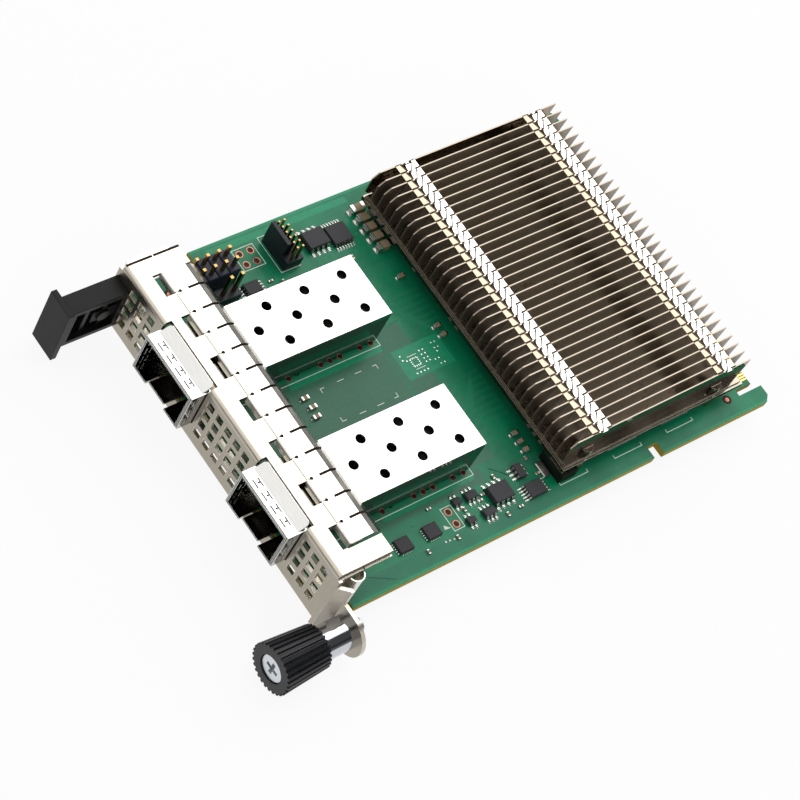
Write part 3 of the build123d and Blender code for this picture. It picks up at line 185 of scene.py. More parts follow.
class Paint:
    """Builds the node tree of one material or of the world."""

    def __init__(self, owner: bpy.types.Material | bpy.types.World) -> None:
        """Clear the owner's nodes down to its output.

        Args:
            owner: The material or world to paint.
        """
        owner.use_nodes = True
        self.tree = owner.node_tree
        self.output = next(n for n in self.tree.nodes if n.type.startswith("OUTPUT"))
        for spare in [n for n in self.tree.nodes if n != self.output]:
            self.tree.nodes.remove(spare)

    def node(self, kind: str, settings: dict | None = None, sockets: dict | None = None, out: int | str = 0) -> Signal:
        """Add a node.

        Args:
            kind: The node's type name.
            settings: Its settings.
            sockets: Values, colours or signals of its inputs, by name or index.
            out: Name or index of the output to return.

        Returns:
            The chosen output.
        """
        made = self.tree.nodes.new(kind)
        for name, value in (settings or {}).items():
            setattr(made, name, value)
        for name, value in (sockets or {}).items():
            if isinstance(value, Signal):
                self.tree.links.new(value.socket, made.inputs[name])
            else:
                made.inputs[name].default_value = value
        return Signal(self, made.outputs[out])

    def finish(self, shader: Signal) -> None:
        """Send a shader to the output."""
        self.tree.links.new(shader.socket, self.output.inputs["Surface"])

    def surface(self, colour: Signal, rough: Value, normal: Signal, more: dict) -> None:
        """Finish with a Principled shader of these inputs."""
        sockets = {"Base Color": colour, "Roughness": rough, "Normal": normal, **more}
        self.finish(self.node("ShaderNodeBsdfPrincipled", None, sockets))

    def place(self) -> Signal:
        """Return the object position in millimetres."""
        raw = self.node("ShaderNodeTexCoord", out="Object")
        return self.node("ShaderNodeVectorMath", {"operation": "SCALE"}, {0: raw, "Scale": 1 / MM})

    def along(self, vector: Signal) -> tuple[Signal, Signal, Signal]:
        """Return a vector's three parts."""
        outputs = self.node("ShaderNodeSeparateXYZ", None, {0: vector}).socket.node.outputs
        return tuple(Signal(self, part) for part in outputs)

    def facing(self) -> tuple[Signal, Signal, Signal]:
        """Return the parts of the surface's own normal."""
        return self.along(self.node("ShaderNodeNewGeometry", out="Normal"))

    def rays(self) -> tuple[Signal, Signal]:
        """Return masks of the rays that see a background, and of the glossy ones among them."""
        path = self.node("ShaderNodeLightPath").socket.node.outputs
        camera, glossy, clear = (Signal(self, path[f"Is {kind} Ray"]) for kind in ("Camera", "Glossy", "Transmission"))
        return camera.most(glossy).most(clear), glossy

    def noise(self, size: float, detail: float = 3.0, stretch: Place = (1, 1, 1), rough: float = 0.55) -> Signal:
        """Add noise.

        Args:
            size: Size of its features, mm.
            detail: Number of finer layers.
            stretch: How many times longer the features are along each axis.
            rough: Strength of the finer layers.

        Returns:
            The noise value.
        """
        scale = tuple(1 / (size * s) for s in stretch)
        where = self.node("ShaderNodeVectorMath", {"operation": "MULTIPLY"}, {0: self.place(), 1: scale})
        return self.node("ShaderNodeTexNoise", None,
                         {"Vector": where, "Scale": 1.0, "Detail": detail, "Roughness": rough})

    def mix(self, share: Value, first: Signal | Colour, second: Signal | Colour, how: str = "MIX") -> Signal:
        """Mix two colours, with a share of the second."""
        return self.node("ShaderNodeMix", {"data_type": "RGBA", "blend_type": how}, {0: share, 6: first, 7: second}, 2)

    def dimmed(self, colour: Signal, shade: Colour) -> Signal:
        """Return a colour multiplied by a shade."""
        return self.mix(1.0, colour, shade, "MULTIPLY")

    def patched(self, cloud: Signal, colour: Colour, dark: float) -> Signal:
        """Return a colour with soft darker patches where a cloud is thin."""
        return self.mix(cloud.fade(0.35, 0.7), scaled(colour, dark), colour)

    def edge(self, radius: float) -> tuple[Signal, Signal]:
        """Round the edges in the shading.

        Args:
            radius: Edge radius, mm.

        Returns:
            The rounded normal, and a mask that is 1 at the edges.
        """
        rounded = self.node("ShaderNodeBevel", {"samples": 4}, {"Radius": radius * MM})
        true = self.node("ShaderNodeNewGeometry", out="Normal")
        same = self.node("ShaderNodeVectorMath", {"operation": "DOT_PRODUCT"}, {0: rounded, 1: true}, "Value")
        return rounded, same.fade(0.995, 0.82)


class Finish:
    """Base of all finishes: a name and a method that paints the material once."""

    name: str

    def paint(self, paint: Paint) -> None:
        """Build the nodes."""
        raise NotImplementedError

    def material(self) -> bpy.types.Material:
        """Return the finish's material, painted when it is first asked for."""
        made = bpy.data.materials.get(self.name)
        if made is None:
            made = bpy.data.materials.new(self.name)
            self.paint(Paint(made))
        return made


@dataclass(frozen=True)
class Metal(Finish):
    """Plated or bare metal with a rolled or turned grain, light smudges, and edges lightened partly as wear and partly
    as a painted highlight.

    Walls are darkened by upright, painted shade. Faces along X above flank_from are darkened by flank, a painted dark
    reflection of the shaded board, and side-facing bent faces below it are made matte and a little dimmer so they read
    lighter than their dark reflection, painted light.
    """

    name: str
    colour: Colour
    rough: float = 0.2
    grain: Place = (1, 1, 1)
    grain_size: float = 0.25
    grain_depth: float = 0.002
    grain_dim: Colour = (0.93, 0.93, 0.93, 1)
    smudge: float = 0.1
    edge_radius: float = 0.1
    edge_gain: float = 1.25
    edge_matte: float = 0.0
    upright: float = 1.0
    flank: float = 1.0
    flank_from: float = 0.0
    bend_light_share: float = 0.85
    bend_dim: float = 0.82

    def paint(self, paint: Paint) -> None:
        """Build the nodes.

        Args:
            paint: The material's paint.
        """
        cloud = paint.noise(6.0)
        fine = paint.noise(self.grain_size, 2.0, self.grain)
        normal, wear_and_highlight = paint.edge(self.edge_radius)
        flat = paint.patched(cloud, self.colour, 1 - self.smudge)
        grained = paint.mix(fine.fade(0.2, 0.8), paint.dimmed(flat, self.grain_dim), flat)
        # Painted shade: walls take a darker copy of the colour.
        if self.upright != 1.0:
            side = 1 - abs(paint.facing()[2])
            grained = paint.mix(side, grained, paint.dimmed(grained, scaled(WHITE, self.upright)))
        metallic: Value = 1 - wear_and_highlight * self.edge_matte if self.edge_matte else 1.0
        # Painted dark reflection on faces along X above flank_from; below it, side-facing bent faces turn matte and
        # dimmer to read lighter, painted light.
        if self.flank != 1.0:
            outward = abs(paint.facing()[0])
            raised = paint.along(paint.place())[2].above(self.flank_from)
            across = outward.fade(0.75, 0.95) * raised
            grained = paint.mix(across, grained, scaled(self.colour, self.flank))
            wear_and_highlight = wear_and_highlight * (1 - across)
            painted_bend_light = outward.fade(0.3, 0.6) * (1 - raised) * self.bend_light_share
            grained = paint.mix(painted_bend_light, grained, scaled(self.colour, self.bend_dim))
            metallic = 1 - painted_bend_light
        # Lighter edges, partly wear and partly a painted highlight.
        top = tuple(min(1.0, part) for part in scaled(self.colour, self.edge_gain))
        rough = cloud.fade(0.3, 0.75, self.rough * 0.8, self.rough * 1.3)
        relief = fine.bump(self.grain_depth, normal)
        paint.surface(paint.mix(wear_and_highlight, grained, top), rough, relief, {"Metallic": metallic})


@dataclass(frozen=True)
class FinStock(Finish):
    """Bright fin sheet with cut edges, lightened partly as a painted highlight; side faces in dim brown tones, duller
    and darker between the fins and darkest in front of the front zip tabs, painted shade; and the seams and openings of
    the zip tabs painted dark as shade.

    Places along a tab are mm from its front edge. Places across it are shares of the fins' pitch.
    """

    name: str = "fin_stock"
    bright: Colour = tone(250, 247, 240)
    cut: Colour = tone(164, 153, 138)
    tab_front: Colour = tone(182, 168, 148)
    face: Colour = tone(140, 122, 103)
    face_dim: Colour = (0.92, 0.9, 0.88, 1)
    inner: Colour = tone(148, 132, 112)
    front: Colour = tone(96, 82, 68)
    seam: Colour = tone(62, 53, 44)
    inner_metal: float = 0.35
    inner_rough: float = 0.2
    rough: float = 0.09
    grain_depth: float = 0.0005
    edge_radius: float = 0.035
    zips: Point = (63.7, 97.0)
    zip_width: float = 4.8
    first: float = -33.5
    sheet: float = 0.12
    last: float = 31.6
    pitch: float = 1.99
    seam_level: float = 10.6
    half_seam: float = 0.1
    pale_end: float = 1.7
    front_seam_end: float = 1.5
    rear_seam_start: float = 3.72
    seam_at: float = -0.12
    root: Point = (1.9, 2.6)
    root_at: float = -0.02
    step_at: Point = (-0.03, 3.73)
    step_reach: Point = (0.12, 0.11)
    slant_start: float = 3.85
    slant_fall: float = 1.39
    opening: Point = (1.0, 2.05)
    opening_side: float = 0.84

    def tab_place(self, y: Signal) -> Signal:
        """Return the distance from the front edge of the nearer row of tabs."""
        front, rear = self.zips
        return y - front - y.above((front + rear) / 2) * (rear - front)

    def seams(self, x: Signal, along: Signal) -> Signal:
        """Mask the seams and the open triangle of each tab.

        Args:
            x: X position, mm.
            along: Distance from the tab's front edge, mm.

        Returns:
            1 on a seam or in an opening and 0 on the sheet.
        """
        steps = (x - self.first) * (1 / self.pitch)
        cell = steps.fraction()
        past = (steps + 0.5).fraction() - 0.5
        ends = along.above(self.rear_seam_start).most(1 - along.above(self.front_seam_end))
        straight = past.near(self.seam_at, self.half_seam) * ends
        slant = (along + cell * self.slant_fall).near(self.slant_start, self.half_seam * 1.6)
        root = past.near(self.root_at, self.half_seam) * along.within(*self.root)
        step = along.near(self.step_at[1], self.step_reach[1]) * past.near(self.step_at[0], self.step_reach[0])
        opening = along.within(cell * 0.55 + self.opening[0], self.opening[1] - cell * 0.1)
        opening = opening * (1 - cell.above(self.opening_side))
        margin = self.half_seam / 2
        return straight.most(slant).most(root).most(step).most(opening) * along.within(-margin, self.zip_width + margin)

    def paint(self, paint: Paint) -> None:
        """Build the nodes.

        Args:
            paint: The material's paint.
        """
        x, y, z = paint.along(paint.place())
        cloud = paint.noise(5.0)
        fine = paint.noise(0.3, 2.0, (1, 6, 6))
        normal, wear_and_highlight = paint.edge(self.edge_radius)
        side = abs(paint.facing()[2]).fade(0.8, 0.4)
        # Painted shade: side faces start from a dim brown tone in place of the bright metal.
        sheet = paint.patched(cloud, self.face, 0.85)
        sheet = paint.mix(fine.fade(0.2, 0.8), sheet, paint.dimmed(sheet, self.face_dim))
        along = self.tab_place(y)
        high = z.above(self.seam_level)
        tab = along.within(0.0, self.zip_width) * high
        top = paint.mix(tab, self.cut, paint.mix(along.above(self.pale_end), self.tab_front, self.bright))
        # Painted shade: faces between the fins take a duller, darker tone, darker still in front of the front zip tabs.
        inside = side * x.within(self.first + self.sheet, self.last)
        gap = paint.mix(y.above(self.zips[0]), self.front, self.inner)
        sheet = paint.mix(side, top, paint.mix(inside, sheet, gap))
        # Edges of the faces take the lighter cut colour, partly cut metal and partly a painted highlight.
        sheet = paint.mix(wear_and_highlight * (1 - tab), sheet, self.cut)
        # Painted shade: the seams and openings of the zip tabs are dark.
        colour = paint.mix(self.seams(x, along) * high * (1 - side), sheet, self.seam)
        rough = cloud.fade(0.3, 0.75, self.rough * 0.8, self.rough * 1.4) + inside * self.inner_rough
        relief = fine.bump(self.grain_depth, normal)
        paint.surface(colour, rough, relief, {"Metallic": 1 - inside * (1 - self.inner_metal)})


@dataclass(frozen=True)
class Moulded(Finish):
    """Moulded plastic, epoxy or fired ceramic with a fine speckle, flow clouds, and edges lightened partly as wear and
    partly as a painted highlight.
    """

    name: str
    colour: Colour
    rough: float = 0.45
    speckle: float = 0.25
    speckle_size: float = 0.12
    depth: float = 0.006
    gloss: float = 0.35
    edge_radius: float = 0.15
    edge_gain: float = 1.8
    rim_highlight_and_wear: float = 0.6

    def paint(self, paint: Paint) -> None:
        """Build the nodes.

        Args:
            paint: The material's paint.
        """
        cloud = paint.noise(3.5)
        grit = paint.noise(self.speckle_size, 2.0)
        normal, wear_and_highlight = paint.edge(self.edge_radius)
        base = paint.mix(cloud.fade(0.3, 0.7), scaled(self.colour, 0.85), scaled(self.colour, 1.15))
        dotted = paint.mix(grit.fade(0.45, 0.75), base, scaled(self.colour, 1 + self.speckle))
        # Lighter edges, partly wear and partly a painted highlight.
        colour = paint.mix(wear_and_highlight * self.rim_highlight_and_wear, dotted, scaled(self.colour, self.edge_gain))
        rough = grit.fade(0.3, 0.7, self.rough * 0.85, self.rough * 1.15)
        paint.surface(colour, rough, grit.bump(self.depth, normal), {"Specular IOR Level": self.gloss})


@dataclass(frozen=True)
class SolderMask(Finish):
    """Green solder mask over copper planes, bare of copper at the rims, with laminate at the cut edges."""

    name: str = "solder_mask_green"
    open: Colour = tone(8, 136, 94)
    plane: Colour = tone(56, 114, 88)
    clear: Colour = tone(20, 150, 106)
    shade: Colour = tone(22, 92, 66)
    laminate: Colour = tone(172, 152, 54)
    rough: Point = (0.28, 0.42)
    depth: float = 0.008
    gloss: float = 0.22
    coat: float = 0.13
    coat_rough: float = 0.12
    half_width: float = 38.0
    rim: float = 0.55
    front: float = 1.4
    blur: float = 0.1
    soft: float = 0.15
    strip: Point = (33.0, 34.2)
    pockets: Boxes = (
        (-3.4, 3.4, 45.2, 56.6), (-6.2, -4.3, 22.0, 44.0), (24.9, 26.2, 22.0, 44.0), (-37.0, -35.6, 24.0, 58.0))
    planes: Boxes = ((-6.4, 9.6, 4.0, 44.0), (-9.0, 24.0, 44.4, 50.5), (24.5, 27.5, 6.0, 46.0))

    def inside(self, x: Signal, y: Signal, boxes: Boxes) -> Signal:
        """Mask rectangles with slightly soft sides.

        Args:
            x: X position, mm.
            y: Y position, mm.
            boxes: The rectangles.

        Returns:
            1 inside any of them and 0 outside.
        """
        masks = []
        for x0, x1, y0, y1 in boxes:
            sides = ((abs(x - (x0 + x1) / 2), (x1 - x0) / 2), (abs(y - (y0 + y1) / 2), (y1 - y0) / 2))
            across, down = (away.fade(half + self.soft, half - self.soft) for away, half in sides)
            masks.append(across * down)
        return reduce(Signal.most, masks)

    def paint(self, paint: Paint) -> None:
        """Build the nodes.

        Args:
            paint: The material's paint.
        """
        x, y, _ = paint.along(paint.place())
        weave = paint.noise(0.5, 2.0, (3, 1, 1)) * 0.5 + paint.noise(0.5, 2.0, (1, 3, 1)) * 0.5
        cloud = paint.noise(11.0, 4.0)
        side, front = self.half_width - self.rim, self.front + self.rim
        rims = abs(x).fade(side - self.blur, side + self.blur)
        rims = rims.most(y.fade(front + self.blur, front - self.blur))
        ground = paint.mix(cloud.fade(0.3, 0.75) * 0.6, self.open, self.shade)
        ground = paint.mix(self.inside(x, y, self.planes), ground, self.plane)
        mask = paint.mix(rims.most(self.inside(x, y, self.pockets)), ground, self.clear)
        mask = paint.mix(weave.fade(0.35, 0.65) * 0.25, mask, self.shade)
        streak = paint.noise(0.22, 2.0, (1, 90, 1))
        mask = paint.mix(x.fade(*self.strip) * streak.fade(0.5, 0.66) * 0.35, mask, self.plane)
        cut = abs(paint.facing()[2]).fade(0.7, 0.3)
        fibre = paint.noise(0.18, 2.0, (4, 4, 0.35))
        edge = paint.mix(fibre.fade(0.3, 0.7), scaled(self.laminate, 0.7), self.laminate)
        normal, wear_and_highlight = paint.edge(0.12)
        # Edges of the mask lightened towards the clear green, partly wear and partly a painted highlight.
        colour = paint.mix(wear_and_highlight * 0.35 * (1 - cut), paint.mix(cut, mask, edge), self.clear)
        rough = cloud.fade(0.3, 0.7, *self.rough) + cut * 0.4
        paint.surface(colour, rough, weave.bump(self.depth, normal), {
            "Specular IOR Level": self.gloss, "Coat Roughness": self.coat_rough, "Coat Weight": self.coat * (1 - cut)})


@dataclass(frozen=True)
class Ink(Finish):
    """Screen-printed ink, slightly uneven where it thins over the mask."""

    name: str
    colour: Colour
    under: Colour
    rough: float = 0.55
    depth: float = 0.004
    gloss: float = 0.3

    def paint(self, paint: Paint) -> None:
        """Build the nodes.

        Args:
            paint: The material's paint.
        """
        thin = paint.noise(0.22)
        colour = paint.mix(thin.fade(0.52, 0.8) * 0.55, self.colour, self.under)
        paint.surface(colour, self.rough, thin.bump(self.depth), {"Specular IOR Level": self.gloss})


@dataclass(frozen=True)
class Backdrop(Finish):
    """White floor that keeps a faint shadow."""

    name: str = "studio_floor"
    own: float = 0.1

    def paint(self, paint: Paint) -> None:
        """Build the nodes.

        Args:
            paint: The material's paint.
        """
        grain = paint.noise(3.0, 2.0)
        lit = paint.node("ShaderNodeBsdfDiffuse", None, {
            "Color": paint.mix(grain, scaled(WHITE, 0.9), scaled(WHITE, 0.93))})
        glow = paint.node("ShaderNodeEmission", None, {"Color": WHITE, "Strength": 1.0})
        seen, _ = paint.rays()
        paint.finish(paint.node("ShaderNodeMixShader", None, {0: seen * (1 - self.own), 1: lit, 2: glow}))


class Shape:
    """Collects the faces of one dressing piece, in millimetres."""

    def __init__(self) -> None:
        """Start with no faces."""
        self.points: list[Place] = []
        self.faces: list[tuple[int, ...]] = []

    def add(self, points: Sequence[Place], faces: Sequence[Sequence[int]]) -> None:
        """Add points and the faces over them."""
        start = len(self.points)
        self.points += points
        self.faces += [tuple(start + i for i in face) for face in faces]

    def rings(self, points: Sequence[Place], sides: int) -> None:
        """Add the walls between rings of points, and a lid on the last ring."""
        count = len(points) // sides
        faces: list[tuple[int, ...]] = [
            (r * sides + k, r * sides + (k + 1) % sides, (r + 1) * sides + (k + 1) % sides, (r + 1) * sides + k)
            for r in range(count - 1) for k in range(sides)]
        self.add(points, faces + [tuple(range((count - 1) * sides, count * sides))])

    def prism(self, outline: Points, low: float, high: float) -> None:
        """Add an upright prism with an open underside, its corners anticlockwise from above."""
        self.rings([(x, y, z) for z in (low, high) for x, y in outline], len(outline))

    def slab(self, x: Point, y: Point, z: Point, chamfer: float = 0.0) -> None:
        """Add a box over its X, Y and Z spans, with a chamfered top."""
        levels = [(0.0, z[0]), (0.0, z[1] - chamfer)] + ([(chamfer, z[1])] if chamfer else [])
        self.rings([(px, py, h) for inset, h in levels for px, py in (
            (x[0] + inset, y[0] + inset), (x[1] - inset, y[0] + inset),
            (x[1] - inset, y[1] - inset), (x[0] + inset, y[1] - inset))], 4)

    def lathe(self, centre: Point, profile: Points, sides: int = 16) -> None:
        """Turn a profile of radii and heights, from the foot inwards, about an upright axis."""
        turns = [2 * math.pi * k / sides for k in range(sides)]
        self.rings([(centre[0] + radius * math.cos(turn), centre[1] + radius * math.sin(turn), height)
                    for radius, height in profile for turn in turns], sides)

    def line(self, path: Points, width: float, high: float, closed: bool = False) -> None:
        """Add a flat mitred line.

        Args:
            path: The points it follows.
            width: Its width.
            high: Height of its top.
            closed: Whether its end joins its start.
        """
        n = len(path)
        left, right = [], []
        for i, (px, py) in enumerate(path):
            before = path[i - 1] if i or closed else None
            after = path[(i + 1) % n] if i < n - 1 or closed else None
            runs = [Vector((b[0] - a[0], b[1] - a[1])).normalized()
                    for a, b in ((before, (px, py)), ((px, py), after)) if a is not None and b is not None]
            normals = [Vector((-d.y, d.x)) for d in runs]
            across = sum(normals, Vector((0.0, 0.0))).normalized()
            reach = width / 2 / max(0.35, across.dot(normals[0]))
            left.append((px + across.x * reach, py + across.y * reach))
            right.append((px - across.x * reach, py - across.y * reach))
        for i in range(n if closed else n - 1):
            j = (i + 1) % n
            self.prism([right[i], right[j], left[j], left[i]], 0.0, high)

    def piece(self, name: str, finish: Finish, slot: Slot, body: str = "root") -> bpy.types.Object:
        """Make the object and let it ride on a body.

        Args:
            name: Name of the piece.
            finish: Its finish.
            slot: The record's material slot; not used.
            body: The CAD body that carries it.

        Returns:
            The new object.
        """
        mesh = bpy.data.meshes.new(name)
        mesh.from_pydata([(x * MM, y * MM, z * MM) for x, y, z in self.points], [], self.faces)
        mesh.validate()
        mesh.polygons.foreach_set("use_smooth", [True] * len(mesh.polygons))
        mesh.set_sharp_from_angle(angle=math.radians(38))
        mesh.materials.append(finish.material())
        made = placed(name, mesh)
        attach(made, body)
        LOG.info("%s: %d faces", name, len(mesh.polygons))
        return made


SILK = Ink("silkscreen_white", tone(226, 238, 226), tone(120, 170, 145))
TRACE = Ink("mask_over_traces", tone(30, 134, 98), tone(24, 108, 78))
RELIEF = Ink("mask_over_copper_lines", tone(58, 116, 98), tone(40, 100, 78))
TIN = Metal("bright_tin", tone(226, 224, 218), 0.22, grain_size=0.15, grain_depth=0.003, edge_radius=0.05)
COPPER = Metal("plated_copper", tone(176, 122, 100), 0.3, grain_size=0.15, edge_radius=0.04)
GOLD = Metal("contact_gold", tone(236, 196, 120), 0.18, (0.2, 3, 1), edge_radius=0.04)
# Dark fill of the plated holes' bores, painted shade; also used for the discs round the fiducials.
HOLE = Moulded("hole_dark", tone(52, 22, 14), 0.6, edge_radius=0.05)
SHADE = Moulded("slot_shade", tone(44, 32, 24), 0.6, edge_radius=0.04, gloss=0.1)
SHUNT = Moulded("shunt_blue_grey", tone(40, 44, 58), 0.4, edge_radius=0.12, gloss=0.3)
CERAMIC = Moulded("capacitor_tan", tone(146, 130, 100), 0.4, edge_radius=0.08, edge_gain=1.3)

# In the metals below, upright darkens walls and flank darkens the bracket's end faces, painted shade; edge gains
# lighten edges, partly a painted highlight.
NODES_BY_FINISH: tuple[tuple[Finish, str], ...] = (
    (SolderMask(), "circuit_board"), (FinStock(), "heatsink_fins"), (GOLD, "edge_contacts"),
    (TIN, "chip_leads bulk_cap_ends small_cap_ends"), (CERAMIC, "bulk_cap_bodies small_cap_bodies"),
    (Metal("pin_gold", tone(196, 158, 96), 0.24, (1, 1, 4), edge_radius=0.06, upright=0.7), "header_pins"),
    (Metal("brass_nut", tone(214, 176, 104), 0.28, edge_radius=0.12), "heatsink_standoffs bracket_nuts"),
    (Metal("bracket_sheet", tone(236, 226, 209), 0.3, (8, 8, 0.25), 0.2, 0.001, edge_radius=0.16, upright=0.5,
           flank=0.06, flank_from=8.9), "io_bracket"),
    (Metal("gasket_strip", tone(242, 238, 228), 0.22, (6, 1, 1), edge_radius=0.05),
     "finger_gasket side_spring_near side_spring_far"),
    (Metal("cage_sheet", tone(238, 236, 230), 0.1, (1, 8, 1), grain_depth=0.0006, edge_radius=0.14,
           upright=0.22), "port_cage_far port_cage_near"),
    (Metal("collar_sheet", tone(252, 251, 247), 0.1, (8, 1, 1), grain_depth=0.0006, smudge=0.03, upright=0.4),
     "port_collar_far port_collar_near"),
    (Metal("heatsink_base_plate", tone(176, 166, 150), 0.12, (8, 1, 1), grain_depth=0.0006,
           edge_gain=1.6, edge_matte=0.9, upright=0.22), "heatsink_base"),
    (Metal("zinc_steel", tone(176, 178, 180), 0.14, grain_depth=0.0008),
     "thumb_screw thumb_washer thumb_spring pull_tab_screw bracket_screws"),
    (Metal("sink_screw_steel", tone(176, 164, 152), 0.14, grain_depth=0.0006, upright=0.6), "heatsink_screws"),
    (Metal("sleeve_chrome", tone(206, 208, 214), 0.08, grain_depth=0.0004), "thumb_sleeve"),
    (Metal("lid_nickel", tone(206, 204, 198), 0.26, (6, 1, 1)), "chip_lid crystal_can"),
    (Moulded("knob_black", tone(26, 27, 30), 0.36, edge_radius=0.1, gloss=0.32), "thumb_knob"),
    (Moulded("tab_black", tone(22, 22, 21), 0.42, speckle_size=0.18, edge_radius=0.25, gloss=0.16), "pull_tab"),
    # Painted shade: the choke's dark green-black stands for its ferrite body and for the shaded board around it.
    (Moulded("choke_ferrite_and_board_shade", tone(17, 25, 21), 0.55, edge_radius=0.12, gloss=0.15), "power_choke"),
    (Moulded("header_black", tone(24, 28, 36), 0.35, edge_radius=0.1, gloss=0.3),
     "header_base_front header_base_pair header_base_rear"),
    (Moulded("connector_black", tone(30, 30, 31), 0.4), "port_connector_far port_connector_near"),
    (Moulded("chip_epoxy", tone(52, 53, 54), 0.42, speckle=0.4, edge_radius=0.1, gloss=0.4),
     "chip_small_set chip_memory_far chip_logic_far chip_logic_front chip_memory_near chip_logic_near chip_power_front"
     " chip_power_rear"),
    (Moulded("chip_substrate", tone(60, 96, 74), 0.4), "chip_substrate"),
    (Moulded("thermal_pad", tone(150, 152, 156), 0.8, speckle=0.1), "thermal_pad"))
NODE_FINISHES = {name: finish for finish, names in NODES_BY_FINISH for name in names.split()}


@dataclass(frozen=True)
class Bundle:
    """Traces side by side: how many, their width, and each corner's X, Y and its step from line to line."""

    lines: int
    width: float
    corners: Boxes
    offsets: tuple[float, ...] = (0.0,)

    def lay(self, shape: Shape, height: float) -> None:
        """Add the traces to a shape."""
        for i in range(self.lines):
            for offset in self.offsets:
                shape.line([(x + dx * i + offset, y + dy * i) for x, y, dx, dy in self.corners], self.width, height)


